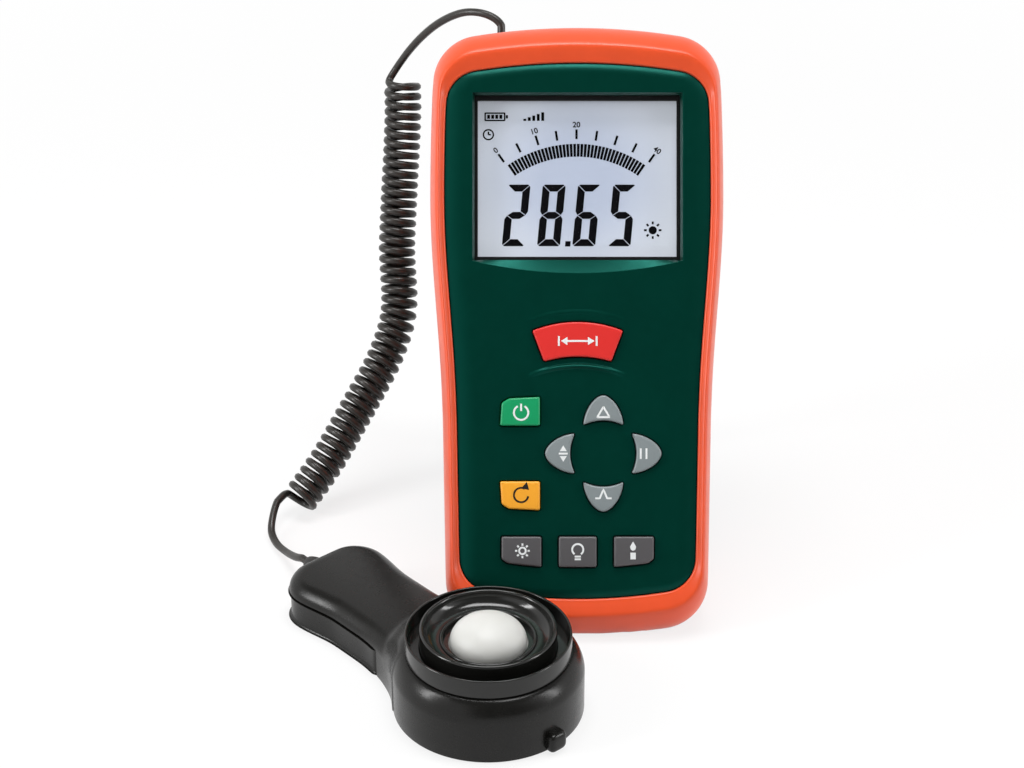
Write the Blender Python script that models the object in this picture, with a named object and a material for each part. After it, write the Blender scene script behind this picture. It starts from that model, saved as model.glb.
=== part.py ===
"""Handheld light meter in a rubber boot, leaning on its stand, with its light sensor on a curly cord.

Metres, +Z up. The meter is drawn upright with its face towards -Y, under an empty that leans it back.
The sensor lies flat on the bench in front of it. The origin is on the bench, under the meter's level sole.
"""

import math

import bmesh
import bpy
import numpy as np
from mathutils import Vector

# Clearances
GAP = 0.0003
CUT = 0.002

# Meter outline, seen from the front
METER_LENGTH = 0.150
HEAD_WIDTH = 0.0724
WAIST_WIDTH = 0.0664
FOOT_WIDTH = 0.0648
HEAD_HEIGHT = 0.108
WAIST_HEIGHT = 0.058
FOOT_HEIGHT = 0.015
SWELL_LEAD = 0.006
HEAD_TAPER = 0.0007
CORNER_RADIUS = 0.012
END_SLOPE = math.radians(9)

# Meter, front to back
METER_DEPTH = 0.035
LEAN = math.radians(29)
SOLE_CUT = 0.0062
BOOT_SIDE_WALL = 0.0020
BOOT_END_WALL = 0.0040
BOOT_SOLE_WALL = 0.0030
LIP_SIDE = 0.0036
LIP_END = 0.0095
LIP_THICKNESS = 0.0024
FRONT_ROUND_DEPTH = 0.0055
FRONT_ROUND_SIDE = 0.0024
FRONT_ROUND_END = 0.0055
BACK_ROUND_DEPTH = 0.0080
BACK_ROUND_SIDE = 0.0040
BACK_ROUND_END = 0.0070
BACK_LIP_SIDE = 0.0068
BACK_LIP_END = 0.0125
BACK_LIP_THICKNESS = 0.0035
CASE_WALL = 0.0022
FACE_DROP = 0.0006
FACE_WALL = 0.0030
FACE_EDGE_ROUND = 0.0007
CASE_SPLIT = -0.0020

# Display window and what lies behind it
WINDOW_WIDTH = 0.0504
WINDOW_LOW = 0.0923
WINDOW_TOP_MARGIN = 0.0173
WINDOW_CORNER = 0.0012
LENS_DROP = 0.0015
LENS_THICKNESS = 0.0015
LCD_VIEW_SIDE_INSET = 0.0008
LCD_VIEW_LOW_INSET = 0.0009
LCD_VIEW_TOP_INSET = 0.0012
BEZEL_MARGIN = 0.0018
BEZEL_THICKNESS = 0.0010
LCD_MARGIN = 0.0026
LCD_THICKNESS = 0.0018
BACKLIGHT_THICKNESS = 0.0010
STRIP_WIDTH = 0.0018
BOARD_THICKNESS = 0.0016
BOARD_BOSS_GAP = 0.0002
BOARD_LOW = 0.0130
BOARD_OVER_WINDOW = 0.0003
CHIP_SIZE = 0.0120
CHIP_THICKNESS = 0.0014
CHIP_BELOW_BOARD_TOP = 0.0250

# Buttons on the face
BUTTON_PROUD = 0.0011
BUTTON_TRAVEL = 0.0006
BUTTON_FLANGE = 0.0006
BUTTON_FLANGE_THICKNESS = 0.0008
BUTTON_CORNER = 0.0005
BUTTON_CHAMFER = 0.0004
PAD_MARGIN = 0.0028
RANGE_TOP_WIDTH = 0.0221
RANGE_LOW_WIDTH = 0.0164
RANGE_LOW = 0.0675
RANGE_HIGH = 0.0750
RANGE_TOP_BULGE = 0.0021
RANGE_LOW_BULGE = 0.0012
CROSS_X = 0.00625
CROSS_Z = 0.04505
CROSS_TIP = 0.0142
CROSS_ROOT = 0.00695
CROSS_ROOT_BULGE = 0.00115
CROSS_HALF_WIDTH = 0.00485
CROSS_ROUNDNESS = 1.7
SIDE_KEY_LEFT = -0.0189
SIDE_KEY_RIGHT = -0.0092
SIDE_KEY_INNER = 0.0068
SIDE_KEY_OUTER = 0.0138
SIDE_KEY_CLIP = 0.0015
LOW_KEY_BOTTOM = 0.0174
LOW_KEY_TOP = 0.0248
LOW_KEY_NEAR = 0.00885
LOW_KEY_FAR = 0.01855
MIDDLE_KEY_WIDTH = 0.0092

# Battery bay and fasteners
BATTERY_WIDTH = 0.0265
BATTERY_LENGTH = 0.0450
BATTERY_DEPTH = 0.0175
BATTERY_LOW = 0.0225
SNAP_THICKNESS = 0.0040
DOOR_WIDTH = 0.0320
DOOR_LIP_GAP = 0.0005
DOOR_HIGH = 0.0760
DOOR_SCREW_HEIGHT = 0.0722
DOOR_PAD_RADIUS = 0.0032
DOOR_PAD_DEPTH = 0.0013
SCREW_HEAD_RADIUS = 0.0024
SCREW_HEAD_HEIGHT = 0.0015
SCREW_SHANK_RADIUS = 0.0012
SCREW_LENGTH = 0.0200
DOOR_SCREW_LENGTH = 0.0060
BOSS_RADIUS = 0.0030
HIGH_BOSS_SIDE = 0.0102
HIGH_BOSS_END = 0.0120
LOW_BOSS_SIDE = 0.0066
LOW_BOSS_END = 0.0285

# Tilt stand
HINGE_HEIGHT = 0.0980
STAND_LENGTH = 0.0745
STAND_SIDE_MARGIN = 0.0132
STAND_THICKNESS = 0.0028
STAND_PIN_RADIUS = 0.0011
STAND_PIN_LENGTH = 0.0022
LUG_THICKNESS = 0.0034
LUG_RADIUS = 0.0024

# Light sensor
SENSOR_X = -0.0215
SENSOR_Y = -0.0385
SENSOR_TURN = math.radians(132)
PUCK_RADIUS = 0.0225
PUCK_HEIGHT = 0.0155
PUCK_ROUND = 0.0030
PUCK_WALL = 0.0020
PUCK_TOP_WALL = 0.0022
HANDLE_START = 0.0100
HANDLE_REACH = 0.0640
HANDLE_HEIGHT = 0.0117
HANDLE_ROUND = 0.0034
HANDLE_WAIST = 0.0119
HANDLE_FLARE = 0.0017
HANDLE_FLARE_REACH = 0.0220
HANDLE_FILLET = 0.0077
HANDLE_FILLET_END = 0.034
HANDLE_TAIL_CORNER = 0.0080
SEAM_HEIGHT = 0.0070
SEAM_START = 0.0260
BRIDGE_INSET = 0.0040
FLOOR_THICKNESS = 0.0025
COLLAR_RADIUS = 0.0195
COLLAR_RIM_HEIGHT = 0.0203
COLLAR_RIM_WIDTH = 0.0010
COLLAR_GROOVE_DEPTH = 0.0014
COLLAR_EDGE = 0.0003
FUNNEL_WALL = 0.0008
COLLAR_MOUTH_RADIUS = 0.0160
COLLAR_MOUTH_HEIGHT = 0.0218
COLLAR_STEP_RADIUS = 0.0115
DOME_RADIUS = 0.0090
DOME_BASE = 0.0180
DOME_RISE = 0.0060
DOME_WALL = 0.0014
DOME_FLANGE_RADIUS = 0.0108
DOME_FLANGE_THICKNESS = 0.0012
LIGHT_WELL_RADIUS = 0.0085
PILLAR_RADIUS = 0.0050
CELL_BOARD_RADIUS = 0.0110
CELL_BOARD_THICKNESS = 0.0012
CELL_SIZE = 0.0090
CELL_THICKNESS = 0.0014
FILTER_RADIUS = 0.0070
FILTER_THICKNESS = 0.0010
NEAR_SCREW_FROM_SEAM = 0.0080
FAR_SCREW_FROM_TAIL = 0.0090
SENSOR_SCREW_LENGTH = 0.0078
CAP_LUG_TURN = math.radians(-48)
CAP_LUG_WIDTH = 0.0050
CAP_LUG_HEIGHT = 0.0048
CAP_LUG_REACH = 0.0022

# Cord and its glands
CORD_DIAMETER = 0.0020
CURL_RADIUS = 0.00395
CURL_GAP = 0.00053
CURL_POINTS = 8
METER_GLAND_X = -0.0187
METER_GLAND_Y = 0.0020
METER_GLAND_RADIUS = 0.0026
METER_GLAND_SPIGOT = 0.0017
SENSOR_GLAND_RADIUS = 0.0027
SENSOR_GLAND_SPIGOT = 0.0017
SENSOR_GLAND_LENGTH = 0.0045
SENSOR_GLAND_DEPTH = 0.0050
SENSOR_GLAND_HEIGHT = 0.0062

# Routes chosen by hand, in metres over the bench, and the cord's headings out of the coil's two ends
METER_LEAD_ROUTE = (
    (-0.0206, 0.0768, 0.1276), (-0.0238, 0.0784, 0.1283), (-0.0276, 0.0806, 0.1277),
    (-0.0314, 0.0833, 0.1256), (-0.0354, 0.0864, 0.1222), (-0.0391, 0.0894, 0.1180),
    (-0.0425, 0.0924, 0.1132), (-0.0450, 0.0948, 0.1090),
)
COIL_ROUTE = (
    (-0.0449, 0.0950, 0.1030), (-0.0448, 0.0935, 0.0965), (-0.0452, 0.0911, 0.0872),
    (-0.0458, 0.0882, 0.0779), (-0.0464, 0.0845, 0.0677), (-0.0467, 0.0816, 0.0608),
    (-0.0464, 0.0788, 0.0545), (-0.0461, 0.0762, 0.0494), (-0.0465, 0.0736, 0.0443),
    (-0.0481, 0.0707, 0.0391), (-0.0510, 0.0670, 0.0331), (-0.0550, 0.0629, 0.0269),
    (-0.0596, 0.0581, 0.0202), (-0.0642, 0.0530, 0.0137), (-0.0691, 0.0481, 0.0080),
    (-0.0734, 0.0441, 0.0036),
)
SENSOR_LEAD_ROUTE = (
    (-0.0787, 0.0376, 0.0042), (-0.0788, 0.0334, 0.0022), (-0.0771, 0.0287, 0.0015),
    (-0.0742, 0.0233, 0.0024), (-0.0713, 0.0177, 0.0045),
)
COIL_TOP_HEADING = (0.55, 0.25, 0.80)
COIL_FOOT_HEADING = (-0.50, -0.85, -0.15)

WINDOW_HIGH = METER_LENGTH - WINDOW_TOP_MARGIN
LCD_VIEW_WIDTH = WINDOW_WIDTH - 2 * LCD_VIEW_SIDE_INSET
LCD_VIEW_LOW = WINDOW_LOW + LCD_VIEW_LOW_INSET
LCD_VIEW_HIGH = WINDOW_HIGH - LCD_VIEW_TOP_INSET
HIGH_BOSS_X = HEAD_WIDTH / 2 - HIGH_BOSS_SIDE
HIGH_BOSS_Z = METER_LENGTH - HIGH_BOSS_END
LOW_BOSS_X = FOOT_WIDTH / 2 - LOW_BOSS_SIDE
LOW_BOSS_Z = LOW_BOSS_END
BOARD_WIDTH = 2 * (LOW_BOSS_X - BOSS_RADIUS - BOARD_BOSS_GAP)
BOARD_HIGH = WINDOW_HIGH + BOARD_OVER_WINDOW
CHIP_HEIGHT = BOARD_HIGH - CHIP_BELOW_BOARD_TOP
STAND_WIDTH = WAIST_WIDTH - 2 * STAND_SIDE_MARGIN
METER_GLAND_TOP = METER_LENGTH
SENSOR_SCREW_PLACES = (SEAM_START + NEAR_SCREW_FROM_SEAM, HANDLE_REACH - FAR_SCREW_FROM_TAIL)
BACK_LIP_LOW = BOOT_SOLE_WALL + BACK_LIP_SIDE / 2

FRONT = -METER_DEPTH / 2
BACK = METER_DEPTH / 2
FACE = FRONT + FACE_DROP
FACE_INSIDE = FACE + FACE_WALL
SHOULDER = FRONT + LIP_THICKNESS + GAP
BACK_FLOOR = BACK - BACK_LIP_THICKNESS - GAP
BACK_INSIDE = BACK_FLOOR - CASE_WALL
DOOR_LOW = (BACK_LIP_LOW + SOLE_CUT + BACK * math.sin(LEAN)) / math.cos(LEAN) + DOOR_LIP_GAP
CASE_SIDE = BOOT_SIDE_WALL + GAP
CASE_END = BOOT_END_WALL + GAP
CAVITY_SIDE = CASE_SIDE + CASE_WALL
CAVITY_END = CASE_END + CASE_WALL
CASE_SOLE = BOOT_SOLE_WALL + GAP
CAVITY_SOLE = CASE_SOLE + CASE_WALL
LENS_FRONT = FACE + LENS_DROP
BEZEL_FRONT = max(LENS_FRONT + LENS_THICKNESS, FACE_INSIDE) + GAP
LCD_FRONT = BEZEL_FRONT + BEZEL_THICKNESS + GAP
BACKLIGHT_FRONT = LCD_FRONT + LCD_THICKNESS + GAP
BOARD_FRONT = BACKLIGHT_FRONT + BACKLIGHT_THICKNESS + GAP
BOARD_BACK = BOARD_FRONT + BOARD_THICKNESS
FLANGE_FRONT = FACE_INSIDE + GAP
FLANGE_BACK = FLANGE_FRONT + BUTTON_FLANGE_THICKNESS
PAD_FRONT = FLANGE_BACK + BUTTON_TRAVEL + GAP
PAD_BACK = BOARD_FRONT - GAP
HINGE_DEPTH = BACK_FLOOR + GAP + STAND_THICKNESS / 2
CORD_RADIUS = CORD_DIAMETER / 2

# Colours: linear red, green, blue, with roughness and metallic
FINISHES = {
    "boot_rubber": ((0.80, 0.105, 0.030), 0.55, 0.0),
    "case_plastic": ((0.004, 0.050, 0.036), 0.45, 0.0),
    "clear_lens": ((0.75, 0.80, 0.85), 0.08, 0.0),
    "lcd_glass": ((0.42, 0.47, 0.58), 0.30, 0.0),
    "black_plastic": ((0.012, 0.012, 0.011), 0.45, 0.0),
    "sensor_plastic": ((0.035, 0.033, 0.029), 0.40, 0.0),
    "white_panel": ((0.80, 0.82, 0.80), 0.40, 0.0),
    "diffuser": ((0.78, 0.78, 0.74), 0.35, 0.0),
    "board": ((0.02, 0.16, 0.06), 0.50, 0.0),
    "chip": ((0.02, 0.02, 0.02), 0.50, 0.0),
    "pad_rubber": ((0.10, 0.10, 0.10), 0.70, 0.0),
    "red_key": ((0.70, 0.022, 0.020), 0.45, 0.0),
    "green_key": ((0.0, 0.30, 0.105), 0.45, 0.0),
    "amber_key": ((0.90, 0.38, 0.025), 0.45, 0.0),
    "grey_key": ((0.22, 0.25, 0.26), 0.45, 0.0),
    "dark_key": ((0.085, 0.083, 0.086), 0.45, 0.0),
    "battery_wrap": ((0.05, 0.05, 0.06), 0.35, 0.0),
    "screw_steel": ((0.55, 0.55, 0.56), 0.30, 1.0),
    "cord_jacket": ((0.035, 0.032, 0.028), 0.45, 0.0),
    "filter_glass": ((0.10, 0.35, 0.20), 0.15, 0.0),
    "photo_cell": ((0.03, 0.03, 0.06), 0.25, 0.0),
}


def finish(name):
    """The material of this name, made once."""
    found = bpy.data.materials.get(name)
    if found:
        return found
    colour, roughness, metallic = FINISHES[name]
    made = bpy.data.materials.new(name)
    made.use_nodes = True
    shader = made.node_tree.nodes["Principled BSDF"]
    shader.inputs["Base Color"].default_value = (*colour, 1.0)
    shader.inputs["Roughness"].default_value = roughness
    shader.inputs["Metallic"].default_value = metallic
    return made


def solid(name, points, faces, material=None, parent=None):
    """An object from points and faces, with its faces turned outwards. Without a material it is a cutter."""
    mesh = bpy.data.meshes.new(name)
    mesh.from_pydata([tuple(p) for p in points], [], faces)
    work = bmesh.new()
    work.from_mesh(mesh)
    bmesh.ops.recalc_face_normals(work, faces=work.faces)
    work.to_mesh(mesh)
    work.free()
    made = bpy.data.objects.new(name, mesh)
    bpy.context.scene.collection.objects.link(made)
    made.parent = parent
    if material:
        mesh.materials.append(finish(material))
        mesh.shade_smooth()
        mesh.set_sharp_from_angle(angle=math.radians(35))
    else:
        made.hide_render = True
        made.display_type = "WIRE"
    return made


def empty(name, parent=None, location=(0, 0, 0), turn=(0, 0, 0)):
    made = bpy.data.objects.new(name, None)
    bpy.context.scene.collection.objects.link(made)
    made.parent = parent
    made.location = location
    made.rotation_euler = turn
    return made


def combine(target, operation, *others):
    """Boolean modifiers on the target, one for each other object, which then only serves as a cutter."""
    for other in others:
        modifier = target.modifiers.new(f"{operation} {other.name}", "BOOLEAN")
        modifier.operation = operation
        modifier.object = other
        modifier.solver = "EXACT"
        other.hide_render = True
        other.display_type = "WIRE"
    return target


def ring_faces(count, rings, closed=False):
    """Quads between successive rings of count points, with the first and last ring capped or joined."""
    faces = []
    for k in range(rings if closed else rings - 1):
        low = k * count
        high = ((k + 1) % rings) * count
        for i in range(count):
            j = (i + 1) % count
            faces.append((low + i, low + j, high + j, high + i))
    if not closed:
        faces.append(tuple(range(count)))
        faces.append(tuple((rings - 1) * count + i for i in range(count)))
    return faces


def prisms(name, outlines, front, back, material=None, parent=None):
    """Several outlines in X and Z, clear of each other, carried along Y in one object."""
    points, faces = [], []
    for edge in outlines:
        start = len(points)
        points += [(x, y, z) for y in (front, back) for x, z in edge]
        faces += [tuple(start + i for i in face) for face in ring_faces(len(edge), 2)]
    return solid(name, points, faces, material, parent)


def prism(name, edge, front, back, material=None, parent=None):
    """An outline in X and Z carried along Y."""
    return prisms(name, [edge], front, back, material, parent)


def circle(x, z, radius, sides=16):
    turns = [2 * math.pi * k / sides for k in range(sides)]
    return [(x + radius * math.cos(turn), z + radius * math.sin(turn)) for turn in turns]


def stacked(name, layers, material=None, parent=None, upright=False):
    """Outlines of equal count carried through the given depths along Y, or heights along Z when upright."""
    points = []
    for level, outline in layers:
        points += [(a, b, level) if upright else (a, level, b) for a, b in outline]
    return solid(name, points, ring_faces(len(layers[0][1]), len(layers)), material, parent)


def crosswise(name, profile, left, right, material=None, parent=None):
    """An outline in Y and Z carried along X."""
    points = [(x, y, z) for x in (left, right) for y, z in profile]
    return solid(name, points, ring_faces(len(profile), 2), material, parent)


def box(name, low, high, material=None, parent=None):
    outline = [(low[0], low[2]), (high[0], low[2]), (high[0], high[2]), (low[0], high[2])]
    return prism(name, outline, low[1], high[1], material, parent)


def turned(name, profile, material=None, parent=None, place=(0, 0, 0), along="Z", sides=40):
    """A profile of radius and height turned about an axis. Radius 0 closes on the axis; else it is a ring."""
    on_axis = [i for i, (radius, _) in enumerate(profile) if radius == 0]
    points, starts = [], []
    for radius, height in profile:
        starts.append(len(points))
        count = 1 if radius == 0 else sides
        for k in range(count):
            turn = 2 * math.pi * k / sides
            spot = (radius * math.cos(turn), radius * math.sin(turn), height)
            if along == "X":
                spot = (spot[2], spot[0], spot[1])
            if along == "Y":
                spot = (spot[0], spot[2], spot[1])
            points.append(tuple(a + b for a, b in zip(spot, place)))
    faces = []
    pairs = list(zip(range(len(profile)), range(1, len(profile))))
    if not on_axis:
        pairs.append((len(profile) - 1, 0))
    for a, b in pairs:
        if a in on_axis and b in on_axis:
            continue
        for k in range(sides):
            j = (k + 1) % sides
            if a in on_axis:
                faces.append((starts[a], starts[b] + k, starts[b] + j))
            elif b in on_axis:
                faces.append((starts[a] + k, starts[a] + j, starts[b]))
            else:
                faces.append((starts[a] + k, starts[a] + j, starts[b] + j, starts[b] + k))
    return solid(name, points, faces, material, parent)


def rod(name, radius, low, high, place, along, material=None, parent=None, sides=16):
    """A round bar from low to high along an axis through the place."""
    profile = [(0, low), (radius, low), (radius, high), (0, high)]
    return turned(name, profile, material, parent, place, along, sides)


def smooth_step(value, low, high):
    share = min(max((value - low) / (high - low), 0.0), 1.0)
    return share * share * (3 - 2 * share)


def half_width(z):
    """Half the boot's width at a height: wide head, waist, then a slight taper to the foot."""
    up_grip = min((z - FOOT_HEIGHT) / (WAIST_HEIGHT - FOOT_HEIGHT), 1)
    grip = FOOT_WIDTH + (WAIST_WIDTH - FOOT_WIDTH) * up_grip
    width = grip + (HEAD_WIDTH - grip) * smooth_step(z, WAIST_HEIGHT - SWELL_LEAD, HEAD_HEIGHT)
    over = max(z - HEAD_HEIGHT, 0) / (METER_LENGTH - HEAD_HEIGHT)
    return width / 2 - 2 * HEAD_TAPER * over * over


def outline(side, end, edge_points=3, arc_points=5, side_points=7):
    """The meter's outline drawn in by side at its sides and end at its ends, anticlockwise from the front."""
    corner = max(CORNER_RADIUS - side, CORNER_RADIUS / 4)
    half = []
    for top in (False, True):
        middle_z = METER_LENGTH - end - corner if top else end + corner
        middle_x = half_width(middle_z) - side - corner
        reach = middle_x + corner * math.sin(END_SLOPE)
        crown = reach * math.tan(END_SLOPE) / 2
        lift = crown - corner * (1 - math.cos(END_SLOPE))
        stretch = []
        for k in range(edge_points):
            x = reach * k / edge_points
            stretch.append((x, crown * (x / reach) ** 2))
        for k in range(arc_points + 1):
            turn = END_SLOPE + (math.pi / 2 - END_SLOPE) * k / arc_points
            x = middle_x + corner * math.sin(turn)
            stretch.append((x, lift + corner * (1 - math.cos(turn))))
        if top:
            stretch = [(x, METER_LENGTH - end - z) for x, z in reversed(stretch)]
        else:
            stretch = [(x, end + z) for x, z in stretch]
        half.append(stretch)
    low_z, high_z = half[0][-1][1], half[1][0][1]
    sides = []
    for k in range(1, side_points):
        z = low_z + (high_z - low_z) * k / side_points
        sides.append((half_width(z) - side, z))
    right = half[0] + sides + half[1]
    left = [(-x, z) for x, z in reversed(right[1:-1])]
    return right + left


def top_edge(x, side, end):
    """Height of the outline's top edge at a place across it."""
    right = [p for p in outline(side, end) if p[0] >= 0 and p[1] > METER_LENGTH / 2]
    right.sort()
    return float(np.interp(abs(x), [p[0] for p in right], [p[1] for p in right]))


def rounded(corners, radius, arc_points=3):
    """A polygon, given anticlockwise, with its corners rounded."""
    points = []
    count = len(corners)
    for i in range(count):
        here = Vector(corners[i])
        before = (Vector(corners[i - 1]) - here).normalized()
        after = (Vector(corners[(i + 1) % count]) - here).normalized()
        half = before.angle(after) / 2
        middle = here + (before + after).normalized() * (radius / math.sin(half))
        first = here + before * (radius / math.tan(half)) - middle
        last = here + after * (radius / math.tan(half)) - middle
        sweep = first.angle_signed(last)
        for k in range(arc_points + 1):
            turn = -sweep * k / arc_points
            cos, sin = math.cos(turn), math.sin(turn)
            spot = Vector((first.x * cos - first.y * sin, first.x * sin + first.y * cos))
            points.append(tuple(middle + spot))
    return points


def rectangle(left, right, low, high, radius, arc_points=3):
    return rounded([(left, low), (right, low), (right, high), (left, high)], radius, arc_points)


def grown(points, by, longest=1.6):
    """An anticlockwise outline moved outwards by a distance, with sharp corners held to a longest reach."""
    spots = np.array(points)
    ahead = np.roll(spots, -1, axis=0) - spots
    ahead /= np.linalg.norm(ahead, axis=1, keepdims=True)
    normal = np.stack([ahead[:, 1], -ahead[:, 0]], axis=1)
    both = normal + np.roll(normal, 1, axis=0)
    both /= np.linalg.norm(both, axis=1, keepdims=True)
    reach = np.minimum(1 / np.clip((both * normal).sum(axis=1), 0.2, 1), longest)
    return [tuple(p) for p in spots + both * (by * reach)[:, None]]


def smooth_route(points, spacing, before=None, after=None):
    """Points at an even spacing along a smooth curve through the route's own points, and its length.

    The curve enters and leaves in line with the points before and after it, when they are given.
    """
    spots = np.array(points)
    before = 2 * spots[0] - spots[1] if before is None else before
    after = 2 * spots[-1] - spots[-2] if after is None else after
    ends = np.vstack([before, spots, after])
    share = np.linspace(0, 1, 40, endpoint=False)[:, None]
    fine = []
    for a, b, c, d in zip(ends, ends[1:], ends[2:], ends[3:]):
        first, second, third = c - a, 2 * a - 5 * b + 4 * c - d, 3 * b - a - 3 * c + d
        fine.append(0.5 * (2 * b + first * share + second * share**2 + third * share**3))
    fine = np.vstack(fine + [spots[-1]])
    run = np.concatenate([[0], np.cumsum(np.linalg.norm(np.diff(fine, axis=0), axis=1))])
    count = max(int(round(run[-1] / spacing)), 2)
    even = np.linspace(0, run[-1], count + 1)
    return np.stack([np.interp(even, run, fine[:, k]) for k in range(3)], axis=1), run[-1]


def lead_points(start, out_of_start, route, out_of_end, end):
    """A lead that leaves its start and meets its end straight for one diameter, smooth in between."""
    start_straight = start + CORD_DIAMETER * out_of_start
    end_straight = end + CORD_DIAMETER * out_of_end
    middle, length = smooth_route([start_straight, *route, end_straight], 2 * CORD_DIAMETER, start, end)
    return np.vstack([start, middle, end]), length + 2 * CORD_DIAMETER


def tube(name, points, material, parent, bevel_resolution):
    """A cord: a bevelled curve along its points, with closed ends."""
    curve = bpy.data.curves.new(name, "CURVE")
    curve.dimensions = "3D"
    curve.bevel_depth = CORD_RADIUS
    curve.bevel_resolution = bevel_resolution
    curve.use_fill_caps = True
    spline = curve.splines.new("POLY")
    spline.points.add(len(points) - 1)
    spline.points.foreach_set("co", np.hstack([points, np.ones((len(points), 1))]).ravel())
    spline.use_smooth = True
    curve.materials.append(finish(material))
    made = bpy.data.objects.new(name, curve)
    bpy.context.scene.collection.objects.link(made)
    made.parent = parent
    return made


def sole_slab(height, bench):
    """Everything below a level height over the bench, where the leaning meter is cut flat."""
    reach = METER_LENGTH
    return box(
        f"sole_slab_{height * 1000:.1f}", (-reach, -reach, -reach), (reach, reach, height), None, bench
    )


def quarter(steps):
    """Shares of depth and of inset along a rounded edge, from its crest to its side."""
    turns = [math.pi / 2 * k / steps for k in range(steps + 1)]
    return [(1 - math.cos(t), 1 - math.sin(t)) for t in turns]


def make_boot(meter, bench):
    """The rubber boot: a rounded sleeve with a lip over the face and the back, and a level sole."""
    crest_side, crest_end = FRONT_ROUND_SIDE, FRONT_ROUND_END
    layers = [(FRONT, outline(crest_side + 0.0004, crest_end + 0.0008))]
    for depth, inset in quarter(4):
        layers.append(
            (FRONT + 0.0002 + FRONT_ROUND_DEPTH * depth, outline(crest_side * inset, crest_end * inset))
        )
    for depth, inset in reversed(quarter(4)):
        level = BACK - BACK_ROUND_DEPTH * depth
        layers.append((level, outline(BACK_ROUND_SIDE * inset, BACK_ROUND_END * inset)))
    boot = stacked("holster", layers, "boot_rubber", meter)
    lip_back, back_lip_front = FRONT + LIP_THICKNESS, BACK - BACK_LIP_THICKNESS
    inside = prism(
        "boot_inside", outline(BOOT_SIDE_WALL, BOOT_END_WALL), lip_back, back_lip_front, None, meter
    )
    combine(inside, "DIFFERENCE", sole_slab(BOOT_SOLE_WALL, bench))
    front_opening = prism(
        "front_opening", outline(LIP_SIDE, LIP_END), FRONT - CUT, lip_back + CUT, None, meter
    )
    back_edge = outline(BACK_LIP_SIDE, BACK_LIP_END)
    back_opening = prism("back_opening", back_edge, back_lip_front - CUT, BACK + CUT, None, meter)
    combine(back_opening, "DIFFERENCE", sole_slab(BACK_LIP_LOW, bench))
    cord_hole = rod(
        "holster_cord_hole", METER_GLAND_RADIUS + GAP, METER_LENGTH - BOOT_END_WALL - 2 * CUT,
        METER_LENGTH + CUT,
        (METER_GLAND_X, METER_GLAND_Y, 0), "Z", None, meter,
    )
    combine(boot, "DIFFERENCE", sole_slab(0, bench), inside, front_opening, back_opening, cord_hole)
    return boot


def boss_places():
    """X and Z of the four case screws."""
    return [(s * x, z) for x, z in ((HIGH_BOSS_X, HIGH_BOSS_Z), (LOW_BOSS_X, LOW_BOSS_Z)) for s in (-1, 1)]


def range_outline():
    low, high = RANGE_LOW_WIDTH / 2, RANGE_TOP_WIDTH / 2
    steps = [k / 4 - 1 for k in range(9)]
    under = [(low * t, RANGE_LOW + RANGE_LOW_BULGE * (1 - t * t)) for t in steps]
    over = [(-high * t, RANGE_HIGH + RANGE_TOP_BULGE * (1 - t * t)) for t in steps]
    return under + over


def cross_outline(turn):
    """One arm of the round cluster: an arched tip over a hollow root, turned about the cluster's middle."""
    power = 2 / CROSS_ROUNDNESS
    points = []
    for k in range(11):
        t = math.pi * k / 10
        x = CROSS_HALF_WIDTH * math.copysign(abs(math.cos(t)) ** power, math.cos(t))
        points.append((x, CROSS_ROOT + (CROSS_TIP - CROSS_ROOT) * math.sin(t) ** power))
    for k in range(1, 6):
        x = CROSS_HALF_WIDTH * (k / 3 - 1)
        points.append((x, CROSS_ROOT + CROSS_ROOT_BULGE * (1 - (x / CROSS_HALF_WIDTH) ** 2)))
    cos, sin = math.cos(turn), math.sin(turn)
    return [(CROSS_X + x * cos - z * sin, CROSS_Z + x * sin + z * cos) for x, z in points]


def mirrored_in_x(points):
    return [(-x, z) for x, z in reversed(points)]


def mirrored_in_z(points, about):
    return [(x, 2 * about - z) for x, z in reversed(points)]


def button_outlines():
    """Each button's outline on the face, with its finish."""
    clip = SIDE_KEY_CLIP
    upper_left = rounded(
        [
            (SIDE_KEY_LEFT, CROSS_Z + SIDE_KEY_INNER), (SIDE_KEY_RIGHT, CROSS_Z + SIDE_KEY_INNER),
            (SIDE_KEY_RIGHT, CROSS_Z + SIDE_KEY_OUTER),
            (SIDE_KEY_LEFT + 1.4 * clip, CROSS_Z + SIDE_KEY_OUTER - clip / 4),
            (SIDE_KEY_LEFT + clip / 4, CROSS_Z + SIDE_KEY_OUTER - clip),
        ],
        BUTTON_CORNER,
    )
    low_right = rounded(
        [
            (LOW_KEY_NEAR, LOW_KEY_BOTTOM), (LOW_KEY_FAR - clip, LOW_KEY_BOTTOM + 0.6 * clip),
            (LOW_KEY_FAR, LOW_KEY_BOTTOM + 1.3 * clip), (LOW_KEY_FAR, LOW_KEY_TOP),
            (LOW_KEY_NEAR, LOW_KEY_TOP),
        ],
        BUTTON_CORNER,
    )
    low_middle = rectangle(
        -MIDDLE_KEY_WIDTH / 2, MIDDLE_KEY_WIDTH / 2, LOW_KEY_BOTTOM, LOW_KEY_TOP, BUTTON_CORNER
    )
    return {
        "range_button": (range_outline(), "red_key"),
        "power_button": (upper_left, "green_key"),
        "reset_button": (mirrored_in_z(upper_left, CROSS_Z), "amber_key"),
        "relative_button": (cross_outline(0), "grey_key"),
        "max_min_button": (cross_outline(math.pi / 2), "grey_key"),
        "peak_button": (cross_outline(math.pi), "grey_key"),
        "hold_button": (cross_outline(-math.pi / 2), "grey_key"),
        "backlight_button": (mirrored_in_x(low_right), "dark_key"),
        "lux_button": (low_middle, "dark_key"),
        "footcandle_button": (low_right, "dark_key"),
    }


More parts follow.
